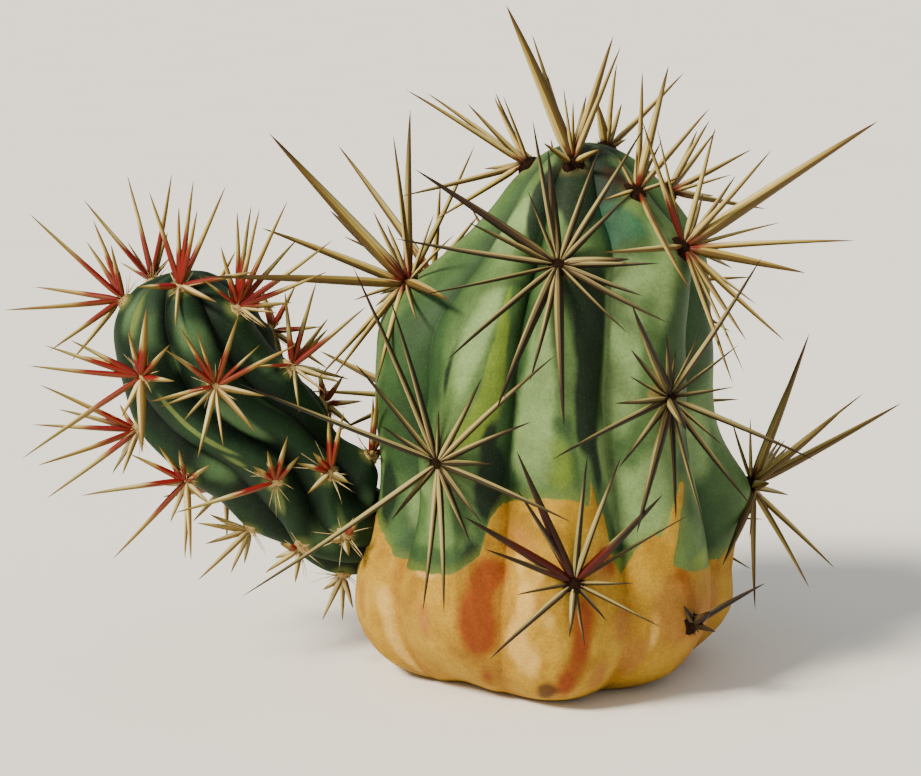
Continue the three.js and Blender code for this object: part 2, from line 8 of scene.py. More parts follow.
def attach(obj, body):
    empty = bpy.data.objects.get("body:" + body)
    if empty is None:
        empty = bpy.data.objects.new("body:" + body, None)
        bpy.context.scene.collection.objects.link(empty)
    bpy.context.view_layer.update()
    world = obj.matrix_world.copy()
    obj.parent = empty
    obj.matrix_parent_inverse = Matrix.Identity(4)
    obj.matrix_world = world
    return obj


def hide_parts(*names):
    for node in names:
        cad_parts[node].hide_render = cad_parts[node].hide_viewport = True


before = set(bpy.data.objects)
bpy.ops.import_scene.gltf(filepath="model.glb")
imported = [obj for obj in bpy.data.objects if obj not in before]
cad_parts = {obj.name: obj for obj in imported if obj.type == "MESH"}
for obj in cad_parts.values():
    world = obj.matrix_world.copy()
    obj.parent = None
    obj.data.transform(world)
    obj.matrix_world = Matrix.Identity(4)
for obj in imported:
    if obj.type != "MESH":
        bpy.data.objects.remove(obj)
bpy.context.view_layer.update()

# A ribbed cactus lifted from the ground: a broad main stem on a flat corky base, a side branch on
# its left flank, and a cluster of spines in the felt of every areole.
# Stations and sizes are in millimetres in the row frame, and meshes are made in metres.

MM = 0.001

# The camera, where the plate was seen from
SIGHT_TILT = math.radians(12)
SIGHT_TARGET = Vector((-16.5, 0, 57)) * MM
SIGHT_DISTANCE = 511.7 * MM
LENS = 100
SENSOR = 36

# The main stem's stations: level, centre x y z, radius, how much it bulges right, furrow depth
MAIN_STATIONS = (
    (0, -1, 5, 0, 27.4, 0, 0.03),
    (4, -0.6, 3, 4, 32.2, 0, 0.04),
    (12, 0, 0.8, 12, 36.2, 0, 0.06),
    (20, 0, 0, 20, 37.6, 0.01, 0.08),
    (28, 0, 0, 28, 36.8, 0.05, 0.12),
    (36, 0, 0, 36, 35.6, 0.07, 0.16),
    (44, 0, 0, 44, 34.6, 0.05, 0.17),
    (54, 0, 0, 54, 34.2, 0.01, 0.17),
    (64, 0, 0, 64, 33.9, 0, 0.17),
    (72, 0.4, 0, 72, 32.6, 0.01, 0.17),
    (79, 2, 0, 79, 29.2, 0.06, 0.18),
    (86, 4.2, 0, 86, 24.4, 0.12, 0.19),
    (93, 5.6, 0, 93, 18.6, 0.14, 0.2),
    (99, 6.5, 0, 99, 13.6, 0.12, 0.2),
    (103.4, 7.1, 0, 103.4, 8.6, 0.1, 0.18),
    (105.6, 7.4, 0, 105.6, 4.2, 0.05, 0.1),
    (106.2, 7.5, 0, 106.2, 0, 0, 0),
)

# Crest of each rib: level, and degrees from the side that faces the viewer round to the right
MAIN_RIBS = (
    ((0, 7), (40, 7), (64, 4), (86, -5), (104, -12)),
    ((0, 45), (20, 45), (61, 39), (80, 48), (88, 51), (98, 41), (106, 38)),
    ((0, 94), (37, 94), (70, 92), (106, 98)),
    ((0, 138), (106, 140)),
    ((0, 183), (106, 184)),
    ((0, 229), (106, 226)),
    ((0, 298), (20, 283), (44, 276), (62, 286), (78, 276), (106, 258)),
    ((0, 324), (48, 325), (62, 331), (76, 336), (106, 314)),
)

# Each areole: the node of its spines, rib, level, and how far it swells its rib
MAIN_AREOLES = (
    ("spines_front_upper", 0, 86, 2.2),
    ("spines_left_shoulder", 6, 78.5, 0.8),
    ("spines_left_lower", 7, 49, 2.2),
    ("spines_right_middle", 1, 61, 2.2),
    ("spines_front_low", 0, 28, 2.2),
    ("spines_right_low", 2, 36, 4),
    ("spines_right_shoulder", 1, 88, 2.2),
    ("spines_crown_front", 0, 103.2, 0.5),
    ("spines_crown_left", 6, 101.3, 0.5),
    ("spines_crown_right", 1, 98, 0.5),
    ("spines_crown_back", 3, 104, 0.5),
    ("spines_crown_edge", 2, 96, 0.5),
    ("spines_old_base", 1, 16.5, 2.2),
    ("spines_back_right_upper", 3, 74, 2.2),
    ("spines_back_right_middle", 3, 48, 2.2),
    ("spines_back_right_low", 3, 22, 2.2),
    ("spines_back_crown", 4, 93, 1),
    ("spines_back_upper", 4, 68, 2.2),
    ("spines_back_middle", 4, 42, 2.2),
    ("spines_back_low", 4, 16, 2.2),
    ("spines_back_left_upper", 5, 76, 2.2),
    ("spines_back_left_middle", 5, 50, 2.2),
    ("spines_back_left_low", 5, 23, 2.2),
)
# Lobes and a hollow of the base, which bear no spines: rib, level, and how far out it stands
MAIN_LOBES = ((0, 4, 4), (7, 0, -3.4), (1, 2, 1.6), (2, 10, 2.6), (6, 9, 2.2))

# The branch's stations, ribs and areoles, with levels counted along its axis from the neck
BRANCH_STATIONS = (
    (0, -31, 2, 29.5, 5.6, 0, 0.08),
    (4.5, -35.4, 1.5, 29.2, 9.6, 0, 0.12),
    (9.5, -40, 1, 31.2, 11.4, 0, 0.16),
    (15.5, -45, 0.5, 34.8, 11.8, 0, 0.19),
    (22.5, -50.2, 0, 39.2, 12.5, 0, 0.2),
    (30.5, -55.8, 0, 45.2, 14.6, 0, 0.2),
    (39, -61.6, 0, 51.4, 15.4, 0, 0.2),
    (47, -66.4, 0, 57.8, 15.4, 0, 0.2),
    (54.5, -69.6, 0, 64.6, 15.3, 0, 0.2),
    (61.5, -71.2, 0, 71.4, 14.4, 0, 0.2),
    (66.5, -71.9, 0, 76.4, 10.8, 0, 0.2),
    (69.5, -72.2, 0, 79.4, 6.2, 0, 0.14),
    (70.9, -72.4, 0, 80.8, 0, 0, 0),
)
BRANCH_RIBS = (
    ((0, -75), (20, -71), (36, -54), (50, -84), (70, -84)),
    ((0, -41), (13, -41), (27, 0), (52, -31), (70, -35)),
    ((0, -5), (9, -5), (22, 38), (46, 13), (70, 6)),
    ((0, 60), (17, 88), (42, 70), (62, 54), (70, 54)),
    ((0, 128), (42, 124), (70, 116)),
    ((0, 176), (70, 172)),
    ((0, 228), (36, 238), (50, 224), (70, 224)),
)
BRANCH_AREOLES = (
    ("branch_spines_tip_left", 0, 66.3, 0.4),
    ("branch_spines_tip_back", 6, 68, 0.4),
    ("branch_spines_tip_front", 2, 68.5, 0.4),
    ("branch_spines_tip_right", 3, 63, 0.6),
    ("branch_spines_upper_left", 1, 55, 1.5),
    ("branch_spines_upper_middle", 2, 48.5, 1.5),
    ("branch_spines_outer_left", 0, 47, 1.5),
    ("branch_spines_upper_right", 3, 40, 1.5),
    ("branch_spines_lower_left", 0, 37, 1.5),
    ("branch_spines_under_left", 0, 22, 1.5),
    ("branch_spines_middle", 1, 26, 1.5),
    ("branch_spines_lower_middle", 2, 19.5, 1.5),
    ("branch_spines_neck_left", 1, 14, 1.5),
    ("branch_spines_neck_front", 2, 9.5, 1.5),
    ("branch_spines_lower_right", 3, 12.5, 1.5),
    ("branch_spines_neck_under", 0, 6, 1.5),
    ("branch_spines_back_right_upper", 4, 50, 1.5),
    ("branch_spines_back_right_low", 4, 28, 1.5),
    ("branch_spines_back_upper", 5, 60, 1.5),
    ("branch_spines_back_middle", 5, 38, 1.5),
    ("branch_spines_back_low", 5, 17, 1.5),
    ("branch_spines_back_left_upper", 6, 52, 1.5),
    ("branch_spines_back_left_low", 6, 29, 1.5),
)

# Places round a stem are given in ribs: 2.5 is the furrow between rib 2 and rib 3.
# The upper edge of the cork round the main stem: ribs, height
CORK_EDGE = (
    (0.0, 43), (0.17, 41.6), (0.21, 46), (0.25, 42), (0.33, 38.4), (0.38, 30.4), (0.47, 26.8),
    (0.62, 32), (0.77, 34.8), (0.82, 33), (0.87, 28.4), (1.07, 26.4), (1.35, 25), (1.6, 24.4),
    (1.8, 26.8), (1.87, 32.8), (2.0, 33), (2.3, 27), (2.6, 25), (2.95, 30), (3.2, 38), (3.5, 33),
    (3.8, 26), (4.1, 24), (4.4, 29), (4.6, 37), (4.9, 40), (5.2, 33), (5.45, 27), (5.7, 25),
    (5.9, 29), (6.05, 33), (6.28, 28.8), (6.38, 26.8), (6.6, 25.6), (6.85, 26.4), (7.05, 26.8),
    (7.18, 28), (7.31, 31.2), (7.36, 38), (7.45, 40.8), (7.7, 42.4), (7.93, 43.2),
)

# A slanting streak of cork: its two ends in ribs and height, and half its width at each in mm
CORK_STREAK = ((0.78, 29, 2.4), (1.1, 43.5, 0.5))

# Painted places of the main stem: ribs, height, half a width in ribs, half a height, strength.
# Red brown stains of the cork
RUSSET_PATCHES = (
    (7.33, 18.5, 0.15, 8.5, 1.3), (7.42, 28, 0.12, 3, 0.7), (7.38, 6, 0.08, 3, 0.6),
    (0.08, 22, 0.13, 5, 0.9), (0.06, 14, 0.09, 5, 0.9), (7.97, 7, 0.08, 4, 0.8),
    (0.24, 32, 0.06, 3, 0.6), (0.34, 30, 0.07, 3, 0.6), (0.93, 27, 0.12, 3, 0.6),
    (0.98, 21.6, 0.08, 4, 0.5), (1.63, 3.6, 0.2, 3, 0.6), (2.4, 16, 0.2, 9, 0.6),
    (3.3, 20, 0.14, 12, 0.8), (4.5, 14, 0.2, 9, 0.8), (5.4, 20, 0.14, 10, 0.7),
    (6.1, 16, 0.1, 9, 0.5),
)
# Pale plates of cork, and painted highlights where the lobes face the light
PALE_PATCHES = (
    (7.68, 24, 0.09, 4, 1.0), (7.61, 15.5, 0.09, 5, 1.0), (7.73, 10.8, 0.09, 4, 0.8),
    (7.85, 20.4, 0.06, 3, 0.6), (6.37, 17.2, 0.1, 5, 0.8), (6.35, 8.8, 0.1, 4, 0.7),
    (6.42, 4.4, 0.1, 3, 0.7), (6.87, 27, 0.16, 1.6, 0.9), (7.79, 39, 0.1, 2.5, 0.8),
    (7.62, 30.8, 0.06, 2.5, 0.7), (7.78, 29.2, 0.06, 2.5, 0.6), (0.7, 15, 0.05, 6, 0.7),
    (2.1, 20, 0.12, 6, 0.7), (2.9, 12, 0.15, 6, 0.7), (4.0, 18, 0.13, 6, 0.8),
    (5.05, 26, 0.14, 7, 0.7),
)
# Broad places of a darker, warmer cork, painted half shade
OCHRE_PATCHES = (
    (6.9, 17.6, 0.1, 5, 0.7), (0.43, 18.4, 0.1, 5, 0.9), (0.57, 9.6, 0.12, 5, 0.9),
    (0.25, 7.6, 0.1, 4, 0.9), (0.85, 20, 0.2, 8, 0.9), (1.35, 13, 0.35, 11, 1.0),
    (0.25, 30, 0.25, 5, 0.7), (7.6, 35, 0.2, 5, 0.6), (2.6, 14, 0.4, 10, 0.7),
    (4.2, 8, 0.4, 5, 0.6), (5.7, 12, 0.3, 8, 0.6),
)
# Painted shade: dark brown in hollows of the cork, round its foot and on its right side, and scars on
# the crown
UMBER_PATCHES = (
    (7.86, 5, 0.08, 2.5, 0.9), (7.95, 24.5, 0.05, 3.5, 0.5), (0.75, 101, 0.14, 1.5, 0.9),
    (0.95, 98.5, 0.15, 2, 0.9), (1.0, 1.5, 0.5, 1.2, 0.5), (6.5, 1, 0.6, 1, 0.4),
    (3.5, 2.5, 0.9, 2, 0.5), (1.6, 18, 0.3, 9, 0.3),
)
# Painted shade: dark green on flanks turned from the light, in the furrows behind, and round the crown
DEEP_PATCHES = (
    (0.17, 98.5, 0.5, 4, 1.3), (7.4, 98.5, 0.35, 5, 1.3), (0.7, 100.5, 0.3, 3, 1.0),
    (0.2, 94.5, 0.2, 3.5, 0.8), (7.27, 95, 0.14, 4, 1.1), (7.35, 89, 0.12, 4, 0.7),
    (0.5, 105, 4, 1.5, 0.7), (0.31, 80, 0.13, 6, 1.3), (0.3, 71, 0.14, 7, 1.4),
    (0.27, 61, 0.13, 6, 1.3), (0.2, 54.5, 0.1, 4, 1.0), (0.3, 48, 0.07, 5, 0.8),
    (0.1, 84, 0.15, 5, 0.6), (1.3, 51, 0.06, 6, 0.7), (1.75, 74, 0.2, 14, 0.5),
    (6.86, 66, 0.035, 8, 0.7), (7.33, 54, 0.06, 4, 0.8), (7.4, 48, 0.08, 4, 1.0),
    (7.34, 42, 0.1, 6, 1.1), (7.25, 31.5, 0.1, 3, 0.8), (6.2, 38, 0.12, 8, 1.1),
    (2.5, 60, 0.16, 32, 0.9), (3.45, 64, 0.14, 32, 0.9), (4.45, 60, 0.16, 30, 0.9),
    (5.5, 62, 0.16, 30, 0.9),
)
# Painted half shade: broader places of a darker green
SHADY_PATCHES = (
    (6.28, 64, 0.25, 9, 0.9), (6.62, 66, 0.25, 9, 0.9), (6.35, 54, 0.35, 6, 0.9),
    (6.3, 46, 0.2, 5, 0.8), (6.4, 73, 0.16, 5, 0.8), (6.7, 52, 0.25, 5, 0.7),
    (1.05, 69, 0.2, 4, 0.9), (1.3, 62, 0.25, 5, 0.9), (1.3, 51, 0.2, 7, 0.7),
    (1.6, 70, 0.35, 12, 1.0), (1.12, 78, 0.2, 7, 0.9), (1.0, 87, 0.12, 4, 0.8),
    (1.5, 35, 0.3, 6, 0.7), (1.12, 42, 0.08, 8, 0.7), (6.45, 27, 0.3, 3, 1.0),
    (7.0, 29, 0.3, 3, 1.0), (7.15, 38, 0.1, 7, 0.7), (7.98, 57, 0.14, 2.5, 0.7),
    (0.06, 50, 0.08, 6, 0.7), (6.25, 82, 0.15, 5, 0.6),
)
# Yellow green along the flanks of the ribs, and over the edge of the cork; beside the furrow between
# rib 7 and rib 0 it is painted light on a flank turned from the light
YELLOW_PATCHES = (
    (7.19, 78, 0.05, 4, 1.0), (7.28, 71, 0.07, 5, 1.3), (7.3, 64, 0.1, 5, 1.3),
    (7.22, 57.5, 0.12, 4, 1.0), (7.12, 54, 0.12, 3, 0.7), (7.96, 51, 0.18, 6, 0.55),
    (7.9, 46, 0.12, 3, 0.3), (0.47, 29, 0.08, 3, 0.8), (1.2, 28, 0.2, 2.5, 0.7),
    (6.75, 27, 0.3, 1.6, 0.3), (2.3, 66, 0.1, 20, 0.7), (3.25, 56, 0.08, 20, 0.6),
    (4.2, 70, 0.1, 20, 0.7), (5.25, 60, 0.1, 20, 0.6),
)
# Painted light: a pale green on the crests and the lit flanks
PAINTED_LIGHT_PATCHES = (
    (7.83, 72, 0.14, 9, 1.0), (7.74, 60, 0.18, 8, 1.1), (7.72, 50, 0.18, 6, 1.0),
    (0.6, 83, 0.18, 6, 1.0), (0.6, 72, 0.15, 8, 1.1), (0.6, 61, 0.15, 7, 1.1),
    (0.4, 51.5, 0.12, 5, 0.9), (0.58, 42, 0.22, 6, 1.0), (0.66, 35, 0.2, 4, 0.8),
    (6.97, 93.5, 0.2, 4, 0.9), (6.88, 89, 0.25, 4, 0.7), (0.9, 88, 0.12, 5, 0.9),
    (6.5, 36, 0.12, 5, 0.6), (6.9, 36, 0.12, 5, 0.6), (7.0, 76, 0.16, 7, 0.8),
    (7.02, 66, 0.14, 7, 0.7), (6.85, 43, 0.25, 4, 0.5), (1.4, 45, 0.3, 7, 0.7),
    (1.6, 54, 0.25, 9, 0.5), (0.85, 47, 0.15, 5, 0.8), (0.88, 40, 0.12, 4, 0.6),
    (0.9, 78, 0.1, 5, 0.7), (2.85, 66, 0.2, 24, 0.8), (3.8, 66, 0.2, 24, 0.8),
    (4.85, 66, 0.2, 24, 0.8), (5.85, 66, 0.15, 24, 0.6),
)
# Worn buff skin round one areole of rib 1
BUFF_PATCHES = (
    (0.86, 61.5, 0.05, 2.2, 1.2), (1.13, 61, 0.05, 2, 0.7), (0.97, 64, 0.03, 1.4, 0.8),
)
# Bluish green near the crown and in a few furrows
TEAL_PATCHES = (
    (0.5, 95.5, 0.15, 3, 1.2), (0.68, 92.5, 0.18, 3.5, 0.9), (0.5, 89, 0.1, 3, 0.6),
    (1.4, 60, 0.2, 16, 0.3), (3.6, 80, 0.3, 10, 0.6), (5.4, 84, 0.3, 9, 0.6),
)
MAIN_PATCHES = {
    "russet": RUSSET_PATCHES,
    "pale": PALE_PATCHES,
    "ochre": OCHRE_PATCHES,
    "umber": UMBER_PATCHES,
    "deep": DEEP_PATCHES,
    "shady": SHADY_PATCHES,
    "yellow": YELLOW_PATCHES,
    "painted_light": PAINTED_LIGHT_PATCHES,
    "buff": BUFF_PATCHES,
    "teal": TEAL_PATCHES,
}

# Painted places of the branch: ribs, place along it, half a width in ribs, half a length, strength.
# Painted highlights: a yellowish light along the crests
RIDGE_PATCHES = (
    (0.78, 64, 0.25, 4, 1.0), (1.9, 61, 0.1, 3, 0.5), (1.09, 48, 0.05, 4, 0.9),
    (1.05, 43, 0.05, 4, 0.9), (1.0, 38, 0.06, 4, 0.8), (0.86, 34, 0.06, 3, 0.7),
    (0.95, 23, 0.12, 3, 0.9), (1.75, 9, 0.2, 3, 0.8), (2.1, 12, 0.1, 3, 0.5),
    (3.1, 24, 0.12, 8, 0.4), (4.1, 40, 0.12, 10, 0.6), (5.05, 48, 0.12, 12, 0.7),
    (5.0, 26, 0.14, 7, 0.6), (6.1, 42, 0.12, 10, 0.6),
)
# Painted light on broad facets between the crests
FACET_PATCHES = (
    (1.85, 42, 0.16, 5, 1.1), (1.7, 36, 0.16, 5, 1.0), (1.9, 59.5, 0.25, 5, 0.8),
    (2.22, 58.5, 0.2, 4, 0.8), (0.4, 34, 0.2, 5, 0.8), (0.42, 64, 0.15, 5, 0.8),
    (1.25, 62, 0.2, 5, 0.7), (1.5, 55.5, 0.12, 3, 0.6), (1.0, 56, 0.08, 3, 0.5),
    (2.35, 36, 0.1, 7, 0.5), (1.3, 28, 0.12, 5, 0.5), (1.4, 12, 0.25, 4, 0.8),
    (2.6, 8, 0.2, 4, 0.6), (2.02, 20, 0.15, 4, 0.7), (2.75, 45, 0.1, 8, 0.5),
    (3.5, 50, 0.2, 12, 0.6), (5.6, 36, 0.2, 12, 0.6), (6.5, 56, 0.15, 6, 0.6),
)

# Hairs and bristles of an areole: how many, shortest and longest, girth, how far they rise and
# spread, and how far they bend
MAIN_TUFTS = ((80, (0.65, 1.3), 0.06, (0.25, 1), (0.2, 1.2), 0.5),)
BRANCH_TUFTS = (
    (70, (0.6, 1.3), 0.05, (0.25, 1), (0.2, 1.2), 0.5),
    (10, (3, 6.5), 0.12, (0.15, 0.4), (0.9, 1), 0.1),
)


class Stem:
    """One of the two stems, with the values that its skin, spines and felt are made from"""

    def __init__(self, stations, ribs, **values):
        self.stations = np.array(stations, float)
        self.ribs = ribs
        self.count = len(ribs)
        for name, value in values.items():
            setattr(self, name, value)


# upright: whether its rings lie level, and not square to its axis
# swell_length: how far along its rib an areole's swelling reaches
# halo_reach: how far round an areole its skin is worn
# root_ring: how far from the middle of its areole a spine is rooted
# girth: the share of a needle's girth that its spine has
# rows and columns: rings of the skin, and points of a ring in each rib
MAIN = Stem(
    MAIN_STATIONS,
    MAIN_RIBS,
    areoles=MAIN_AREOLES,
    lobes=MAIN_LOBES,
    upright=True,
    swell_length=8,
    halo_reach=4.5,
    root_ring=1.3,
    girth=0.84,
    felt_radius=2.1,
    felt_height=1.7,
    tufts=MAIN_TUFTS,
    rows=176,
    columns=62,
)
BRANCH = Stem(
    BRANCH_STATIONS,
    BRANCH_RIBS,
    areoles=BRANCH_AREOLES,
    lobes=(),
    upright=False,
    swell_length=5,
    halo_reach=3.2,
    root_ring=0.8,
    girth=1,
    felt_radius=1.5,
    felt_height=1.3,
    tufts=BRANCH_TUFTS,
    rows=160,
    columns=56,
)


def add_camera():
    """The camera on the plate's line of sight"""
    data = bpy.data.cameras.new("plate_camera")
    data.lens = LENS
    data.sensor_width = SENSOR
    data.clip_start = 0.01
    camera = bpy.data.objects.new("plate_camera", data)
    away = Vector((0, -math.cos(SIGHT_TILT), math.sin(SIGHT_TILT)))
    camera.location = SIGHT_TARGET + away * SIGHT_DISTANCE
    camera.rotation_euler = (math.pi / 2 - SIGHT_TILT, 0, 0)
    bpy.context.collection.objects.link(camera)
    bpy.context.scene.camera = camera


# The form of a stem

# Below 1, the furrows are narrower than the crests
FURROW_SHARPNESS = 0.8
WALKED_LEVELS = 4000
CORK_EDGE_WIDTH = 0.8
# Height over the ground in which the relief grows, so that the base stays flat
RELIEF_START = 2


def flowing(stations, levels):
    """Every column of the stations at some levels, with no kink at a station"""
    last = len(stations) - 1
    index = np.clip(np.searchsorted(stations[1:, 0], levels), 0, last - 1)
    before, start, end, after = (stations[np.clip(index + step, 0, last), 1:] for step in (-1, 0, 1, 2))
    span = stations[index + 1, 0] - stations[index, 0]
    share = ((levels - stations[index, 0]) / span)[:, None]
    return 0.5 * (
        2 * start
        + (end - before) * share
        + (2 * before - 5 * start + 4 * end - after) * share**2
        + (3 * start - before - 3 * end + after) * share**3
    )


def eased(share):
    """From 0 to 1, with a soft start and a soft end"""
    share = np.clip(share, 0, 1)
    return share * share * (3 - 2 * share)


def crest_angles(stem, levels):
    """The crest of every rib in degrees at some levels, and the first one's again, a turn on"""
    columns = []
    for knots in stem.ribs:
        heights, angles = np.array(knots, float).T
        index = np.clip(np.searchsorted(heights[1:], levels), 0, len(heights) - 2)
        share = eased((levels - heights[index]) / (heights[index + 1] - heights[index]))
        columns.append(angles[index] + (angles[index + 1] - angles[index]) * share)
    columns.append(columns[0] + 360)
    return np.array(columns).T


def swellings(stem, levels):
    """How far the areoles lift each rib at some levels"""
    sums = np.zeros((len(levels), stem.count))
    areoles = tuple(areole[1:] for areole in stem.areoles)
    for rib, level, swell in areoles + stem.lobes:
        sums[:, rib] += swell * np.exp(-(((levels - level) / stem.swell_length) ** 2))
    return sums


def ring_directions(stem, levels):
    """The ways to the right and towards the viewer in the plane of each ring"""
    if stem.upright:
        along = np.tile((0.0, 0.0, 1.0), (len(levels), 1))
    else:
        along = flowing(stem.stations, levels + 1)[:, :3] - flowing(stem.stations, levels - 1)[:, :3]
        along /= np.linalg.norm(along, axis=1)[:, None]
    right = np.stack([along[:, 2], np.zeros(len(levels)), -along[:, 0]], 1)
    right /= np.linalg.norm(right, axis=1)[:, None]
    return right, np.cross(right, along)


def skin(stem, levels, places):
    """Points of the skin at levels and places round the stem, and the way out at each"""
    levels = np.atleast_1d(np.array(levels, float))
    places = np.atleast_1d(np.array(places, float)) % stem.count
    rib = places.astype(int)
    share = places - rib
    columns = flowing(stem.stations, levels)
    centre = columns[:, None, :3]
    radius, lean, furrow = (columns[:, 3:4], columns[:, 4:5], columns[:, 5:6])
    radius = np.maximum(radius, 0)
    crests = crest_angles(stem, levels)
    angle = np.radians(crests[:, rib] + (crests[:, rib + 1] - crests[:, rib]) * share)
    crown = np.abs(np.cos(np.pi * share)) ** FURROW_SHARPNESS
    owner = np.where(share < 0.5, rib, (rib + 1) % stem.count)
    lift = swellings(stem, levels)[:, owner] * crown**2 * np.minimum(radius / stem.swell_length, 1)
    reach = radius * (1 + lean * np.sin(angle)) * (1 - furrow * (1 - crown)) + lift
    right, near = ring_directions(stem, levels)
    out = np.sin(angle)[..., None] * right[:, None] + np.cos(angle)[..., None] * near[:, None]
    return centre + out * reach[..., None], out


def even_levels(stem):
    """Levels that are evenly far apart on the skin, which is steep at the shoulders of the crown"""
    fine = np.linspace(0, stem.stations[-1, 0], WALKED_LEVELS)
    radius = np.maximum(flowing(stem.stations, fine)[:, 3], 0)
    steps = np.hypot(np.diff(radius), np.diff(fine))
    walked = np.concatenate([[0], np.cumsum(steps)])
    return np.interp(np.linspace(0, walked[-1], stem.rows + 1)[:-1], walked, fine)


def rough(points, size, seed, stretch=(1, 1, 1)):
    """Smooth noise from -1 to 1 at points in millimetres, with lumps of a size"""
    scaled = points.reshape(-1, 3) * stretch / size + seed * np.array((3.1, 7.7, 1.3))
    return np.array([noise.noise(Vector(point)) for point in scaled]).reshape(points.shape[:-1])


def streaked(stem, places, levels, streak):
    """How deep each point lies within a tapering streak, in millimetres"""
    rib_width = 2 * math.pi * stem.stations[:, 4].max() / stem.count
    low, high = (np.array((place * rib_width, level)) for place, level, _ in streak)
    widths = [width for _, _, width in streak]
    points = np.stack(np.meshgrid(places * rib_width, levels), -1) - low
    share = np.clip(points @ (high - low) / ((high - low) @ (high - low)), 0, 1)
    aside = np.linalg.norm(points - share[..., None] * (high - low), axis=-1)
    return widths[0] + (widths[1] - widths[0]) * share - aside


def painted(stem, places, levels, patches):
    """How strongly some soft patches cover each point"""
    total = np.zeros((len(levels), len(places)))
    for place, level, width, height, strength in patches:
        aside = (places - place + stem.count / 2) % stem.count - stem.count / 2
        across = (aside / width) ** 2
        along = ((levels - level) / height) ** 2
        total += strength * np.exp(-across[None] - along[:, None])
    return total


def new_piece(name, vertices, faces, fields, material):
    """A mesh piece in metres that rides on the plant, with a number at every vertex for each field"""
    mesh = bpy.data.meshes.new(name)
    mesh.from_pydata(vertices.tolist(), [], faces)
    mesh.polygons.foreach_set("use_smooth", [True] * len(mesh.polygons))
    for field, values in fields.items():
        attribute = mesh.attributes.new(field, "FLOAT", "POINT")
        attribute.data.foreach_set("value", np.asarray(values, np.float32).ravel())
    mesh.materials.append(material)
    piece = bpy.data.objects.new(name, mesh)
    bpy.context.collection.objects.link(piece)
    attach(piece, "root")
    return piece


def grid_faces(rows, columns):
    """Quads of a tube of rings, a fan to the point before its first ring, and one to its tip"""
    row = np.arange(rows - 1)[:, None] * columns
    step = np.arange(columns)[None]
    following = (step + 1) % columns
    low, next_low = row + step, row + following
    faces = np.stack([low, next_low, next_low + columns, low + columns], -1).reshape(-1, 4).tolist()
    foot, tip = rows * columns, rows * columns + 1
    top = (rows - 1) * columns
    faces += [(foot, (step + 1) % columns, step) for step in range(columns)]
    faces += [(top + step, top + (step + 1) % columns, tip) for step in range(columns)]
    return faces


def stem_piece(name, stem, node, material, fields_of):
    """The finished skin of a stem, with its relief and the fields that its finish is made from"""
    levels = even_levels(stem)
    places = np.arange(stem.count * stem.columns) / stem.columns
    points, out = skin(stem, levels, places)
    fields = fields_of(stem, points, levels, places)
    relief = fields.pop("relief")
    points = points + out * relief[..., None]
    ends = flowing(stem.stations, np.array([0, stem.stations[-1, 0]]))[:, :3]
    vertices = np.concatenate([points.reshape(-1, 3), ends]) * MM
    for key, values in fields.items():
        fields[key] = np.append(values.ravel(), [values[0].mean(), values[-1].mean()])
    piece = new_piece(name, vertices, grid_faces(len(levels), len(places)), fields, material)
    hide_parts(node)


def crest_field(levels, places):
    """How near each point is to its rib's crest, from 0 in a furrow to 1"""
    return np.abs(np.cos(np.pi * places)) * np.ones((len(levels), 1))


def areole_halo(stem, points):
    """How near each point is to an areole, from 0 to 1"""
    halo = np.zeros(points.shape[:-1])
    for _, rib, level, _ in stem.areoles:
        seat = skin(stem, level, rib)[0][0, 0]
        away = np.linalg.norm(points - seat, axis=-1) / stem.halo_reach
        halo = np.maximum(halo, np.exp(-(away**2)))
    return halo


def main_fields(stem, points, levels, places):
    """What the finish of the main stem is made from: crests, cork, painted places and relief"""
    edge_places, edge_heights = np.array(CORK_EDGE).T
    edge = np.interp(places, edge_places, edge_heights, period=stem.count)
    cork = np.maximum(edge[None] - levels[:, None], streaked(stem, places, levels, CORK_STREAK))
    corky = eased(cork / CORK_EDGE_WIDTH + 0.5)
    broad = rough(points, 15, 1)
    middle = rough(points, 5, 2, (1, 1, 0.6))
    fine = rough(points, 1.7, 3)
    creases = -np.abs(rough(points, 4, 5, (1, 1, 2.2)))
    green_relief = 0.35 * broad + 0.08 * middle + 0.02 * fine
    cork_relief = 0.4 * broad + 0.25 * middle + 0.06 * fine + 0.25 * creases + 0.2
    relief = green_relief + (cork_relief - green_relief) * corky
    fields = {
        "crest": crest_field(levels, places),
        "cork": cork,
        "halo": areole_halo(stem, points),
        "relief": relief * eased(levels / RELIEF_START)[:, None],
    }
    for name, patches in MAIN_PATCHES.items():
        fields[name] = painted(stem, places, levels, patches)
    return fields


def branch_fields(stem, points, levels, places):
    """What the finish of the branch is made from: crests, painted places and relief"""
    broad = rough(points, 9, 11)
    middle = rough(points, 3, 12)
    return {
        "crest": crest_field(levels, places),
        "halo": areole_halo(stem, points),
        "ridge": painted(stem, places, levels, RIDGE_PATCHES),
        "facet": painted(stem, places, levels, FACET_PATCHES),
        "relief": 0.22 * broad + 0.06 * middle,
    }


# Spines

# Each ring of a spine: how far along it is, and its girth as a share of the widest
RING_SHARES = np.array((0, 0.03, 0.07, 0.12, 0.18, 0.28, 0.4, 0.53, 0.66, 0.78, 0.88, 0.95))
GIRTH_SHARES = np.array((0.5, 0.66, 0.85, 0.98, 1, 0.96, 0.87, 0.75, 0.6, 0.44, 0.28, 0.15))
# What the finish of a spine is made from
SPINE_FIELDS = ("along", "shaded", "aside", "lot", "dusk", "silver", "ruddy", "warm")
SPINE_SIDES = 8
RIDGES = 4
RIDGE_DEPTH = 0.1
LARGEST_BOW = 0.01
# How high over the skin a spine is rooted, the share of its girth that is added to that, and how
# far its foot reaches back into the felt
FOOT_RISE = 0.45
GIRTH_RISE = 0.6
ROOT_DEPTH = 0.2
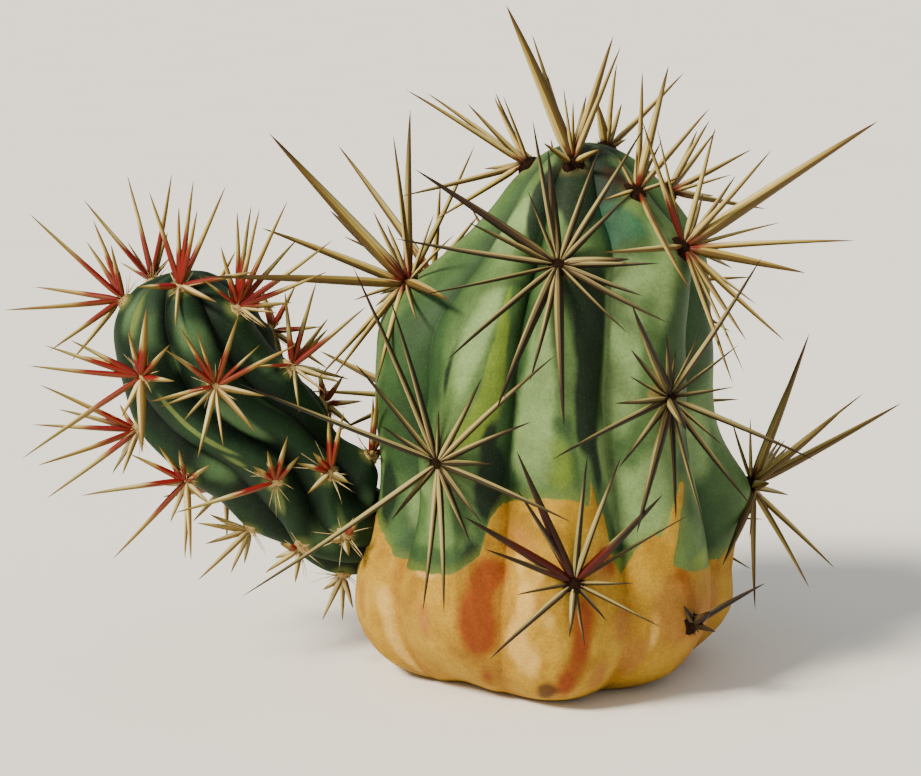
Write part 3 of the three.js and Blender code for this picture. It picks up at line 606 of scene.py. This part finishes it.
# How far along a needle the girth of its spine is taken
GIRTH_PLACE = 0.14
# Ways with a smaller cross product than this are nearly the same
NEARLY_SAME = 0.1
# A needle's tip is a corner whose edges all stay within this angle of their middle
SHARP_POINT = math.cos(math.radians(24))
# Doubled area in square millimetres below which a face counts for nothing
SLIVER = 1e-4
# Faces that look in ways with a larger cosine than this lie on one side of a needle
ONE_SIDE = 0.9
# Half the seat over which an areole's facing is taken: up its rib in millimetres, across it in ribs
SEAT_UP = 1.5
SEAT_ACROSS = 0.12
# The way from the light, towards which the side of every spine is painted in shade, and the ways to the
# right, up and towards the viewer on the plate
SHADED_SIDE = np.array((0.55, 0.12, -0.83))
PLATE_RIGHT = np.array((1.0, 0.0, 0.0))
PLATE_UP = np.array((0.0, math.sin(SIGHT_TILT), math.cos(SIGHT_TILT)))
PLATE_NEAR = np.array((0.0, -math.cos(SIGHT_TILT), math.sin(SIGHT_TILT)))


def needles_of(node):
    """The tip in millimetres and the slimness of every needle of a node"""
    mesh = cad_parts[node].data
    mesh.calc_loop_triangles()
    places = np.array([vertex.co for vertex in mesh.vertices]) / MM
    _, first, welded = np.unique(np.round(places, 3), axis=0, return_index=True, return_inverse=True)
    welded = welded.ravel()
    points = places[first]
    faces = welded[np.array([triangle.vertices for triangle in mesh.loop_triangles])]
    corners = points[faces]
    normals = np.cross(corners[:, 1] - corners[:, 0], corners[:, 2] - corners[:, 0])
    areas = np.linalg.norm(normals, axis=1)
    needles = []
    for index, tip in enumerate(points):
        around = np.nonzero((faces == index).any(1) & (areas > SLIVER))[0]
        others = np.setdiff1d(faces[around], index)
        if len(around) < 3 or len(others) < 3:
            continue
        rays = points[others] - tip
        rays /= np.linalg.norm(rays, axis=1)[:, None]
        middle = rays.mean(0) / np.linalg.norm(rays.mean(0))
        if (rays @ middle).min() < SHARP_POINT:
            continue
        sides = three_sides(normals[around] / areas[around, None], areas[around])
        inward = np.linalg.solve(sides, -np.ones(3))
        inward /= np.linalg.norm(inward)
        slope = -(sides @ inward).mean()
        needles.append((tip, 2 * slope / math.sqrt(1 - slope * slope)))
    return needles


def three_sides(normals, areas):
    """The three directions that a needle's faces look in, from the largest face of each"""
    chosen = []
    for index in np.argsort(-areas):
        if all(normals[index] @ one < ONE_SIDE for one in chosen):
            chosen.append(normals[index])
    return np.array(chosen[:3])


def seat_of(stem, rib, level):
    """The middle of an areole on its rib's crest, the way it faces, and the way up its rib"""
    point = skin(stem, level, rib)[0][0, 0]
    above, below = skin(stem, [level + SEAT_UP, level - SEAT_UP], rib)[0][:, 0]
    right, left = skin(stem, level, [rib + SEAT_ACROSS, rib - SEAT_ACROSS])[0][0]
    facing = np.cross(right - left, above - below)
    facing /= np.linalg.norm(facing)
    upward = (above - below) / np.linalg.norm(above - below)
    return point, facing, upward


def square_to(direction, wanted=(0.0, 0.0, 1.0)):
    """Two directions square to one and to each other, the first as near as can be to a wanted one"""
    first = np.array(wanted) - direction * (direction @ wanted)
    if np.linalg.norm(first) < NEARLY_SAME:
        first = np.cross(direction, (1.0, 0.0, 0.0))
    first /= np.linalg.norm(first)
    return first, np.cross(direction, first)


def spine_body(root, tip, girth, bow):
    """Rings of a spine: narrow at its root, soon at its widest, slightly bowed, drawn out to a point"""
    length = np.linalg.norm(tip - root)
    along = (tip - root) / length
    # The first way round the spine is its side that is painted in shade
    first = np.cross(along, PLATE_NEAR)
    if np.linalg.norm(first) < NEARLY_SAME:
        first, _ = square_to(along, SHADED_SIDE)
    first *= math.copysign(1, first @ SHADED_SIDE) / np.linalg.norm(first)
    second = np.cross(along, first)
    share = RING_SHARES[:, None]
    turns = np.arange(SPINE_SIDES) / SPINE_SIDES * 2 * math.pi
    ridged = 1 + RIDGE_DEPTH * np.cos(RIDGES * turns)
    section = ridged[:, None] * (np.cos(turns)[:, None] * first + np.sin(turns)[:, None] * second)
    middle = root + along * length * share + first * bow * length * 4 * share * (1 - share)
    rings = middle[:, None] + (girth * GIRTH_SHARES)[:, None, None] * section
    points = np.concatenate([rings.reshape(-1, 3), [root - along * ROOT_DEPTH], [tip]])
    fields = {
        "along": np.append(np.repeat(RING_SHARES, SPINE_SIDES), [0, 1]),
        "shaded": np.append(np.tile(np.cos(turns), len(RING_SHARES)), [0, 0]),
        "aside": np.append(np.tile(np.sin(turns), len(RING_SHARES)), [0, 0]),
    }
    return points, fields


def spines_piece(stem, areole, material, random, manner_of):
    """Every spine of an areole, over the needles of its node"""
    node, rib, level, _ = areole
    seat, facing, _ = seat_of(stem, rib, level)
    points, faces = [], []
    fields = {key: [] for key in SPINE_FIELDS}
    body_faces = grid_faces(len(RING_SHARES), SPINE_SIDES)
    for tip, slimness in needles_of(node):
        reach = tip - seat
        sideways = reach - facing * (reach @ facing)
        foot = seat + facing * FOOT_RISE + sideways / np.linalg.norm(reach) * stem.root_ring
        girth = slimness * (1 - GIRTH_PLACE) * np.linalg.norm(tip - foot) * stem.girth
        manner = manner_of(node, reach, random)
        manner["lot"] = random.uniform(0, 1)
        root = foot + facing * girth * GIRTH_RISE
        body, own = spine_body(root, tip, girth, random.uniform(-LARGEST_BOW, LARGEST_BOW))
        start = len(points) * len(body)
        faces += [tuple(start + corner for corner in face) for face in body_faces]
        points.append(body)
        for key, values in fields.items():
            values.append(own[key] if key in own else np.full(len(body), manner[key]))
    fields = {key: np.concatenate(values) for key, values in fields.items()}
    name = node.replace("spines", "long_spines")
    piece = new_piece(name, np.concatenate(points) * MM, faces, fields, material)
    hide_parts(node)


# Spines of the plate that are coloured apart: where the tip is drawn, to the right of its areole's
# middle and above it, then dusk, silver, and how far the red reaches from the foot, -1 for none
APART = {
    "spines_front_upper": (
        (-27, 18, 0.9, 0, -1), (0, -30, 0.45, 0.2, -1), (-5, 27, 0.2, 0.7, -1), (-2, 22, 0.8, 0.5, -1),
    ),
    "spines_front_low": (
        (-11, 25, 0.75, 0, 0.6), (-11, 18, 0.7, 0, 0.3), (-21, 13, 0.6, 0, 0.6), (16, 17, 0.45, 0, 0.4),
        (2, 24, 0.1, 0.9, -1), (8, 24, 0.1, 0.9, -1), (-17, 7, 0.6, 0, 0.3),
    ),
    "spines_left_lower": (
        (-37, 15, 0.1, 1, -1), (-37, -25, 0.15, 0.9, -1), (24, -10, 0.1, 0.9, -1),
        (1, -28, 0.1, 0.9, -1),
    ),
    "spines_left_shoulder": (
        (0, 36, 0.4, 0, 0.2), (-3, 29, 0.2, 0, 0.25), (-40, 1, 0.65, 0, -1), (-27, 29, 0.45, 0, 0.12),
    ),
    "spines_right_shoulder": ((-8, 24, 0.35, 0, 0.35), (-5, 23, 0.3, 0, 0.3)),
    "spines_right_middle": ((16, 26, 0.3, 1, -1), (28, -12, 0.5, 0.3, -1), (-23, -11, 0.1, 0.8, -1)),
    "spines_right_low": ((-7, -15, 1, 0.3, -1), (11, 31, 0.6, 0.1, 0.1), (1, -25, 0.2, 0.5, -1)),
    "spines_old_base": ((14, 8, 0.8, 0, -1), (3, 3, 1, 0, -1), (4, -1, 1, 0, -1), (-2, 4, 1, 0, -1)),
}
# A tip is drawn at a place when it lies within this of it
PLACE_SLACK = 2
NO_RED = -0.3
# Clusters at the outline and behind, whose spines are a warmer straw colour
WARM_CLUSTERS = ("crown", "shoulder", "right_low", "back")


def main_manner(node, reach, random):
    """Shares of dark, of silver, of red and of warm straw in a spine of the main stem"""
    warm = 1.0 if any(part in node for part in WARM_CLUSTERS) else 0.0
    dusk = random.uniform(0, 0.15) if warm else random.uniform(0.05, 0.5)
    ruddy = random.uniform(-0.06, 0.14) if warm else NO_RED
    manner = {"dusk": dusk, "silver": random.uniform(0, 0.25), "ruddy": ruddy}
    manner["warm"] = warm * random.uniform(0.6, 1) + random.uniform(0, 0.25)
    drawn = np.array((reach @ PLATE_RIGHT, reach @ PLATE_UP))
    for right, up, dusk, silver, ruddy in APART.get(node, ()):
        if np.linalg.norm(drawn - (right, up)) < PLACE_SLACK:
            manner.update(dusk=dusk, silver=silver, ruddy=ruddy)
    return manner


def branch_manner(node, reach, random):
    """The same shares in a spine of the branch: most have a red foot, but the low radial ones don't"""
    drawn = np.array((reach @ PLATE_RIGHT, reach @ PLATE_UP))
    cream = drawn[1] < -1 and drawn[0] > -12
    ruddy = NO_RED if cream or "under" in node else random.uniform(0.34, 0.55)
    silver = random.uniform(0.6, 0.9) if cream else random.uniform(0, 0.25)
    dusk = random.uniform(0, 0.3)
    return {"dusk": dusk, "silver": silver, "ruddy": ruddy, "warm": random.uniform(0, 1)}


# Felt and wool

DOME_SIDES = 14
DOME_RINGS = 5
# How far the edge of the felt lies under the skin, and how far up the rib it is drawn out
FELT_SINK = 0.5
FELT_STRETCH = 1.15
HAIR_SIDES = 3
HAIR_RINGS = np.array((0, 0.35, 0.7))
HAIR_TAPER = 0.6
HAIR_DEPTH = 0.2


def dome(seat, facing, upward, radius, height, seed):
    """A lumpy mound of felt over an areole, a little longer up the rib than across it"""
    aside = np.cross(upward, facing)
    rows = np.linspace(0, 1, DOME_RINGS, endpoint=False)
    turns = np.arange(DOME_SIDES) / DOME_SIDES * 2 * math.pi
    spread = radius * np.cos(rows * math.pi / 2)[:, None]
    rise = (height * np.sin(rows * math.pi / 2) - FELT_SINK)[:, None]
    lumps = 1 + 0.16 * np.sin(3 * turns + seed) + 0.1 * np.sin(5 * turns + 2 * seed)
    flat = (spread * lumps * np.cos(turns))[..., None] * aside
    tall = (FELT_STRETCH * spread * lumps * np.sin(turns))[..., None] * upward
    rings = seat + flat + tall + (rise + 0 * turns)[..., None] * facing
    ends = np.array([seat - facing, seat + facing * (height - FELT_SINK)])
    return np.concatenate([rings.reshape(-1, 3), ends])


def hair(root, way, curl, length, girth):
    """A short curled hair of three sides"""
    shares = HAIR_RINGS[:, None]
    first, second = square_to(way)
    turns = np.arange(HAIR_SIDES) / HAIR_SIDES * 2 * math.pi
    middle = root + way * length * shares + curl * length * shares**2
    girths = girth * (1 - HAIR_TAPER * shares)
    section = np.cos(turns)[:, None] * first + np.sin(turns)[:, None] * second
    rings = middle[:, None] + girths[..., None] * section
    tip = root + way * length + curl * length
    return np.concatenate([rings.reshape(-1, 3), [root, tip]])


def strand_way(facing, outward, random, rise, spread):
    """A direction that stands off the skin and leans outward, with a little of chance"""
    way = facing * random.uniform(*rise) + outward * random.uniform(*spread)
    way += np.array([random.uniform(-0.3, 0.3) for _ in range(3)])
    return way / np.linalg.norm(way)


def felt_piece(stem, areole, material, random):
    """The felt of an areole, and the wool and bristles that stand out of it"""
    node, rib, level, _ = areole
    seat, facing, upward = seat_of(stem, rib, level)
    aside = np.cross(upward, facing)
    radius, height = stem.felt_radius, stem.felt_height
    parts = [dome(seat, facing, upward, radius, height, random.uniform(0, 6))]
    faces = grid_faces(DOME_RINGS, DOME_SIDES)
    strands = [np.zeros(len(parts[0]))]
    hair_faces = grid_faces(len(HAIR_RINGS), HAIR_SIDES)
    start = len(parts[0])
    for count, lengths, girth, rise, spread, bend in stem.tufts:
        for _ in range(count):
            turn = random.uniform(0, 2 * math.pi)
            away = math.sqrt(random.uniform(0, 1))
            outward = aside * math.cos(turn) + upward * math.sin(turn)
            root = seat + outward * away * radius * 0.95
            root = root + facing * ((height - FELT_SINK) * math.sqrt(1 - away * away) - HAIR_DEPTH)
            way = strand_way(facing, outward, random, rise, spread)
            curl = np.array([random.uniform(-bend, bend) for _ in range(3)])
            strand = hair(root, way, curl, random.uniform(*lengths), girth)
            parts.append(strand)
            strands.append(np.full(len(strand), random.uniform(0.3, 1)))
            faces += [tuple(start + corner for corner in face) for face in hair_faces]
            start += len(strand)
    fields = {"strand": np.concatenate(strands)}
    name = node.replace("spines", "felt")
    new_piece(name, np.concatenate(parts) * MM, faces, fields, material)


# Finishes


def paint(code):
    """A colour from its six hexadecimal digits, as the shaders count it"""
    values = [int(code[index:index + 2], 16) / 255 for index in (0, 2, 4)]
    return tuple(v / 12.92 if v <= 0.04045 else ((v + 0.055) / 1.055) ** 2.4 for v in values) + (1.0,)


def add(tree, kind, inputs=None, **settings):
    """A node with its settings, and its inputs linked or set"""
    node = tree.nodes.new(kind)
    for key, value in settings.items():
        setattr(node, key, value)
    for key, value in (inputs or {}).items():
        if isinstance(value, bpy.types.NodeSocket):
            tree.links.new(value, node.inputs[key])
        else:
            node.inputs[key].default_value = value
    return node


def maths(tree, operation, first, second=0.0, third=0.0):
    """The result of a sum on numbers or fields"""
    inputs = {0: first, 1: second, 2: third}
    return add(tree, "ShaderNodeMath", inputs, operation=operation).outputs[0]


def blend_of(tree, share, first, second, blend="MIX"):
    """A share of a second colour over a first one"""
    inputs = {0: share, 6: first, 7: second}
    return add(tree, "ShaderNodeMix", inputs, data_type="RGBA", blend_type=blend).outputs[2]


def ramp(tree, value, stops):
    """A colour, or a grey for a single number, for each value between stops"""
    node = add(tree, "ShaderNodeValToRGB", {0: value})
    elements = node.color_ramp.elements
    while len(elements) < len(stops):
        elements.new(0.5)
    for element, (place, colour) in zip(elements, stops):
        element.position = place
        element.color = paint(colour) if isinstance(colour, str) else (colour, colour, colour, 1)
    return node.outputs[0]


def between(tree, value, low, high):
    """From 0 at the low value to 1 at the high one, smoothly"""
    inputs = {"Value": value, "From Min": low, "From Max": high}
    return add(tree, "ShaderNodeMapRange", inputs, interpolation_type="SMOOTHSTEP").outputs[0]


def field(tree, name):
    """A number that a piece has at every vertex"""
    return add(tree, "ShaderNodeAttribute", attribute_name=name).outputs["Fac"]


def place(tree, stretch=(1, 1, 1)):
    """Millimetres in the row frame"""
    where = add(tree, "ShaderNodeTexCoord").outputs["Object"]
    scale = tuple(1 / MM * one for one in stretch)
    return add(tree, "ShaderNodeVectorMath", {0: where, 1: scale}, operation="MULTIPLY").outputs[0]


def clouds(tree, vector, size, detail, roughness=0.5):
    """Noise around a half, with lumps of a size in the vector's own units"""
    inputs = {"Vector": vector, "Scale": 1 / size, "Detail": detail, "Roughness": roughness}
    return add(tree, "ShaderNodeTexNoise", inputs).outputs["Fac"]


def new_group(name, inputs, outputs):
    """A node group with named sockets, and its inside's two end nodes"""
    tree = bpy.data.node_groups.new(name, "ShaderNodeTree")
    for way, sockets in (("INPUT", inputs), ("OUTPUT", outputs)):
        for socket in sockets:
            tree.interface.new_socket(socket, in_out=way, socket_type="NodeSocketFloat")
    return tree, tree.nodes.new("NodeGroupInput"), tree.nodes.new("NodeGroupOutput")


def use_group(tree, group, **inputs):
    """The outputs of a node group that is placed in a material with its own values"""
    return add(tree, "ShaderNodeGroup", inputs, node_tree=group).outputs


def skin_grain_group():
    """Cloudy mottling, pale pores and the fine relief of a waxy skin, and the tooth of the paper"""
    tree, _, ends = new_group("skin_grain", (), ("Mottle", "Pores", "Relief", "Paper"))
    where = place(tree)
    mottle = clouds(tree, where, 6, 5, 0.6)
    cells = add(tree, "ShaderNodeTexVoronoi", {"Vector": where, "Scale": 1.6}).outputs["Distance"]
    pores = between(tree, cells, 0.22, 0.08)
    grain = clouds(tree, where, 0.7, 2)
    relief = maths(tree, "SUBTRACT", grain, maths(tree, "MULTIPLY", pores, 0.5))
    paper = clouds(tree, where, 0.5, 2)
    made = {"Mottle": mottle, "Pores": pores, "Relief": relief, "Paper": paper}
    for socket, value in made.items():
        tree.links.new(value, ends.inputs[socket])
    return tree


def spine_fibre_group():
    """Long streaks down a spine, and the side of it that is painted in shade, that differ a little from
    spine to spine
    """
    inputs = ("Along", "Shaded", "Aside", "Lot")
    tree, starts, ends = new_group("spine_fibre", inputs, ("Streaks", "Side"))
    along, shaded, aside, lot = (starts.outputs[key] for key in inputs)
    vector = add(tree, "ShaderNodeCombineXYZ", {
        0: maths(tree, "MULTIPLY", shaded, 1.6),
        1: maths(tree, "MULTIPLY", aside, 1.6),
        2: maths(tree, "MULTIPLY_ADD", lot, 60.0, maths(tree, "MULTIPLY", along, 2.5)),
    }).outputs[0]
    streaks = clouds(tree, vector, 1 / 2.2, 3)
    twist = maths(tree, "MULTIPLY_ADD", lot, 0.9, -0.45)
    side = maths(tree, "MULTIPLY_ADD", aside, twist, shaded)
    tree.links.new(streaks, ends.inputs["Streaks"])
    tree.links.new(side, ends.inputs["Side"])
    return tree


def new_finish(name, roughness, specular):
    """A material with its node tree and its shader"""
    material = bpy.data.materials.new(name)
    material.use_nodes = True
    tree = material.node_tree
    shader = tree.nodes["Principled BSDF"]
    shader.inputs["Roughness"].default_value = roughness
    shader.inputs["Specular IOR Level"].default_value = specular
    return material, tree, shader


def bumped(tree, shader, height, distance, strength=1.0):
    """Fine relief in the light, of a distance in millimetres"""
    inputs = {"Height": height, "Distance": distance * MM, "Strength": strength}
    tree.links.new(add(tree, "ShaderNodeBump", inputs).outputs[0], shader.inputs["Normal"])


def papered(tree, colour, grain, share):
    """A colour with the tooth of the plate's paper in it"""
    tooth = ramp(tree, grain["Paper"], ((0.35, 0.76), (0.65, 1.0)))
    return blend_of(tree, share, colour, tooth, "MULTIPLY")


def tinted(tree, colour, mask, share, code):
    """A colour with a share of a paint over it where a mask lies"""
    return blend_of(tree, maths(tree, "MULTIPLY", mask, share), colour, paint(code))


def covered(tree, colour, uneven, name, share, code, low=0.25, high=0.75):
    """A colour with one kind of painted place over it, whose edge is made uneven by clouds"""
    patch = between(tree, maths(tree, "ADD", field(tree, name), uneven), low, high)
    return tinted(tree, colour, patch, share, code)


def green_of_ribs(tree, uneven, grain):
    """The green of the main stem, darker in the furrows and lighter on the crests as painted shade and
    light, and brownish round the areoles
    """
    crest = field(tree, "crest")
    # Painted shade in the furrows, painted light towards the crests
    green = ramp(tree, crest, ((0.0, "22401e"), (0.3, "38582e"), (0.7, "4e6e3c"), (1.0, "5e7c44")))
    for name, share, code in (
        ("teal", 0.8, "265c40"),
        # painted light on the crests and the lit flanks
        ("painted_light", 0.85, "84a266"),
        # painted half shade, a darker green
        ("shady", 0.8, "2a4a26"),
        # yellow green, and painted light beside the furrow between rib 7 and rib 0
        ("yellow", 0.85, "7e9834"),
        # painted shade, a dark green
        ("deep", 0.92, "0c2014"),
    ):
        green = covered(tree, green, uneven, name, share, code)
    mottle = ramp(tree, grain["Mottle"], ((0.35, 0.6), (0.65, 1.0)))
    green = blend_of(tree, 0.8, green, mottle, "MULTIPLY")
    green = tinted(tree, green, grain["Pores"], 0.1, "a9b886")
    green = tinted(tree, green, between(tree, field(tree, "halo"), 0.4, 0.85), 0.4, "7a7240")
    green = covered(tree, green, uneven, "buff", 0.75, "8a7440")
    return covered(tree, green, uneven, "umber", 0.8, "2e1c0c")


def brown_of_cork(tree, uneven, where):
    """The ochre of the cork with painted shade, redder in the furrows and darker in half shade and
    hollows, with its pale plates and painted highlights, stains and upright streaks
    """
    cloudy = clouds(tree, where, 8, 5, 0.55)
    cork = ramp(tree, cloudy, ((0.3, "966c1c"), (0.5, "ae8622"), (0.7, "bc9632")))
    # Painted shade, a redder brown in the furrows
    cork = tinted(tree, cork, between(tree, field(tree, "crest"), 0.4, 0.05), 0.25, "8f5412")
    # painted half shade, a darker ochre
    cork = covered(tree, cork, uneven, "ochre", 0.75, "a06a30")
    # pale cork and painted highlights
    cork = covered(tree, cork, uneven, "pale", 0.85, "d4ac58")
    cork = covered(tree, cork, uneven, "russet", 0.95, "883c10", 0.15, 0.85)
    # painted shade in hollows, round the foot and on the right side
    cork = covered(tree, cork, uneven, "umber", 0.85, "4a2410")
    streaky = clouds(tree, place(tree, (1, 1, 0.35)), 1.2, 4)
    streaks = ramp(tree, streaky, ((0.35, 0.72), (0.65, 1.0)))
    return blend_of(tree, 0.4, cork, streaks, "MULTIPLY")


def main_skin_finish(grain_group):
    """Waxy green ribs over a corky foot"""
    material, tree, shader = new_finish("waxy_skin_and_cork", 0.6, 0.2)
    where = place(tree)
    grain = use_group(tree, grain_group)
    uneven = maths(tree, "MULTIPLY_ADD", clouds(tree, where, 9, 4), 0.8, -0.4)
    edge = maths(tree, "MULTIPLY_ADD", clouds(tree, where, 2.5, 3), 1.6, -0.8)
    depth = maths(tree, "ADD", field(tree, "cork"), edge)
    fading = maths(tree, "MULTIPLY", between(tree, depth, -3.0, -0.2), 0.4)
    green = blend_of(tree, fading, green_of_ribs(tree, uneven, grain), paint("6f7c2e"))
    corky = between(tree, depth, -0.25, 0.25)
    colour = blend_of(tree, corky, green, brown_of_cork(tree, uneven, where))
    tree.links.new(papered(tree, colour, grain, 0.8), shader.inputs["Base Color"])
    tree.links.new(maths(tree, "MULTIPLY_ADD", corky, 0.15, 0.62), shader.inputs["Roughness"])
    bark = maths(tree, "MULTIPLY", clouds(tree, place(tree, (1, 1, 1.8)), 1.1, 5, 0.65), 2.5)
    height = add(tree, "ShaderNodeMix", {0: corky, 2: grain["Relief"], 3: bark}).outputs[0]
    bumped(tree, shader, height, 0.12, 0.6)
    return material


def branch_skin_finish(grain_group):
    """Deep green skin, with painted light on the crests and painted shade in the furrows"""
    material, tree, shader = new_finish("deep_green_skin", 0.62, 0.15)
    grain = use_group(tree, grain_group)
    where = place(tree)
    drift = maths(tree, "MULTIPLY_ADD", clouds(tree, where, 7, 4), 0.6, -0.3)
    # Painted light on the crests, painted shade in the furrows
    lit = maths(tree, "ADD", field(tree, "crest"), drift)
    green = ramp(tree, lit, ((0.1, "0a1a0e"), (0.6, "122616"), (1.0, "1e3820")))
    # painted light on broad facets between the crests
    green = covered(tree, green, drift, "facet", 0.9, "54744a", 0.2, 1.0)
    # painted highlights along the crests
    green = covered(tree, green, drift, "ridge", 0.85, "68793f", 0.25, 0.8)
    mottle = ramp(tree, grain["Mottle"], ((0.3, 0.7), (0.7, 1.0)))
    green = blend_of(tree, 0.6, green, mottle, "MULTIPLY")
    green = tinted(tree, green, grain["Pores"], 0.08, "8fa070")
    green = tinted(tree, green, between(tree, field(tree, "halo"), 0.3, 0.85), 0.4, "8a9650")
    tree.links.new(papered(tree, green, grain, 0.7), shader.inputs["Base Color"])
    bumped(tree, shader, grain["Relief"], 0.1, 0.5)
    return material


def spine_finish(name, fibre, cool, warm, dark, red):
    """Horny spines in three tones: a painted highlight in a thin line of light, a middle and a painted
    shaded side
    """
    material, tree, shader = new_finish(name, 0.5, 0.2)
    along, warmth = field(tree, "along"), field(tree, "warm")
    inputs = {key.capitalize(): field(tree, key) for key in ("shaded", "aside", "lot")}
    outputs = use_group(tree, fibre, Along=along, **inputs)
    outward = between(tree, along, 0.9, 0.45)
    horn = blend_of(tree, warmth, ramp(tree, along, cool["stops"]), ramp(tree, along, warm["stops"]))
    silver = maths(tree, "MULTIPLY", field(tree, "silver"), outward)
    line = blend_of(tree, warmth, paint(cool["line"]), paint(warm["line"]))
    horn = blend_of(tree, maths(tree, "MULTIPLY", silver, 0.7), horn, line)
    frayed = maths(tree, "MULTIPLY_ADD", outputs["Streaks"], 0.3, -0.15)
    side = maths(tree, "ADD", frayed, outputs["Side"])
    # A painted highlight, a thin line of light down each spine
    glint = maths(tree, "MULTIPLY", between(tree, side, -0.55, -0.72), outward)
    horn = blend_of(tree, maths(tree, "MULTIPLY", glint, 0.9), horn, line)
    dusk = maths(tree, "ADD", field(tree, "dusk"), maths(tree, "MULTIPLY_ADD", along, 0.75, -0.5))
    horn = tinted(tree, horn, between(tree, dusk, 0.05, 0.75), 0.85, dark)
    ruddy = maths(tree, "SUBTRACT", field(tree, "ruddy"), along)
    grained = maths(tree, "MULTIPLY_ADD", outputs["Streaks"], 0.5, -0.25)
    reddened = between(tree, maths(tree, "ADD", ruddy, grained), -0.1, 0.08)
    burnt = maths(tree, "MULTIPLY", field(tree, "dusk"), 1.15)
    horn = blend_of(tree, reddened, horn, blend_of(tree, burnt, paint(red), paint(dark)))
    # Painted shade down the side of each spine that is turned from the light
    shade = blend_of(tree, warmth, paint(cool["shade"]), paint(warm["shade"]))
    share = maths(tree, "MULTIPLY_ADD", reddened, -0.62, 0.96)
    shading = maths(tree, "MULTIPLY", between(tree, side, -0.02, 0.14), share)
    horn = blend_of(tree, shading, horn, shade)
    streaks = ramp(tree, outputs["Streaks"], ((0.35, 0.75), (0.65, 1.0)))
    horn = blend_of(tree, 0.5, horn, streaks, "MULTIPLY")
    tree.links.new(horn, shader.inputs["Base Color"])
    bumped(tree, shader, outputs["Streaks"], 0.08, 0.5)
    return material


def felt_finish(name, felt, wool):
    """Tangled felt, with paler strands of wool"""
    material, tree, shader = new_finish(name, 0.9, 0.1)
    strand = field(tree, "strand")
    tangle = clouds(tree, place(tree), 0.5, 4)
    base = blend_of(tree, tangle, paint(felt), paint(wool))
    colour = blend_of(tree, strand, blend_of(tree, 0.6, base, paint(felt)), paint(wool))
    tree.links.new(colour, shader.inputs["Base Color"])
    bumped(tree, shader, tangle, 0.3)
    return material


# The plant

# Straw colours of the spines from root to tip, with their painted line of light and their painted
# shaded side
GREY_STRAW = {"line": "a69a60", "shade": "0c0704", "stops": (
    (0.0, "140804"), (0.05, "24140a"), (0.1, "524226"), (0.35, "3c311b"), (0.65, "2a2011"),
    (0.9, "1a1008"), (1.0, "120804"),
)}
WARM_STRAW = {"line": "c8ba84", "shade": "54401a", "stops": (
    (0.0, "1e0c06"), (0.06, "5a2010"), (0.1, "a69044"), (0.4, "a08c3c"), (0.75, "8c762c"),
    (0.9, "5c4018"), (1.0, "3a2410"),
)}
OLIVE_STRAW = {"line": "d4c898", "shade": "70602e", "stops": (
    (0.0, "8a4a14"), (0.15, "aea256"), (0.6, "a09646"), (0.88, "7a6e2c"), (1.0, "4a3e18"),
)}
GOLD_STRAW = {"line": "d8c890", "shade": "80602a", "stops": (
    (0.0, "8a4a14"), (0.15, "b29e50"), (0.6, "a48e3a"), (0.88, "7e6424"), (1.0, "4a3414"),
)}


def build_plant():
    """Both skins, and the spines and felt of every areole, with the same chance each run"""
    grain = skin_grain_group()
    fibre = spine_fibre_group()
    main_skin = main_skin_finish(grain)
    branch_skin = branch_skin_finish(grain)
    straw_spine = spine_finish("straw_spine", fibre, GREY_STRAW, WARM_STRAW, "26100a", "6c140c")
    red_spine = spine_finish("red_footed_spine", fibre, OLIVE_STRAW, GOLD_STRAW, "4a2010", "7c0e10")
    dark_felt = felt_finish("dark_felt", "100604", "3a2414")
    cream_wool = felt_finish("cream_wool", "a88c58", "d0bc88")
    stem_piece("main_stem_skin", MAIN, "main_stem", main_skin, main_fields)
    stem_piece("side_branch_skin", BRANCH, "side_branch", branch_skin, branch_fields)
    random = np.random.default_rng(7)
    for areole in MAIN_AREOLES:
        spines_piece(MAIN, areole, straw_spine, random, main_manner)
        felt_piece(MAIN, areole, dark_felt, random)
    for areole in BRANCH_AREOLES:
        spines_piece(BRANCH, areole, red_spine, random, branch_manner)
        felt_piece(BRANCH, areole, cream_wool, random)


# Floor and light

# The floor's half width in metres, and its corners in turn
FLOOR_REACH = 6
FLOOR_CORNERS = ((-1, -1), (1, -1), (1, 1), (-1, 1))
ROOM_STRENGTH = 0.6
SUN_STRENGTH = 6.5
SUN_SPREAD = math.radians(14)
SUN_WAY = Vector((0.6, 0.45, -0.68))


def add_floor():
    """A pale sheet that catches the shadow"""
    mesh = bpy.data.meshes.new("pale_floor")
    corners = [(right * FLOOR_REACH, back * FLOOR_REACH, 0) for right, back in FLOOR_CORNERS]
    mesh.from_pydata(corners, [], [(0, 1, 2, 3)])
    material, tree, shader = new_finish("pale_paper", 0.9, 0.1)
    cloudy = clouds(tree, place(tree), 60, 2)
    tree.links.new(ramp(tree, cloudy, ((0.3, "f3f2ee"), (0.7, "f6f5f1"))), shader.inputs["Base Color"])
    mesh.materials.append(material)
    floor = bpy.data.objects.new("pale_floor", mesh)
    bpy.context.collection.objects.link(floor)


def add_light():
    """An even room, and a soft sun from the upper left"""
    world = bpy.data.worlds.new("pale_room")
    world.use_nodes = True
    background = world.node_tree.nodes["Background"]
    background.inputs["Color"].default_value = paint("fbfaf6")
    background.inputs["Strength"].default_value = ROOM_STRENGTH
    bpy.context.scene.world = world
    data = bpy.data.lights.new("upper_left_light", "SUN")
    data.energy = SUN_STRENGTH
    data.angle = SUN_SPREAD
    data.color = paint("fff3dd")[:3]
    light = bpy.data.objects.new("upper_left_light", data)
    light.rotation_euler = SUN_WAY.to_track_quat("-Z", "Y").to_euler()
    bpy.context.collection.objects.link(light)


add_camera()
build_plant()
add_floor()
add_light()
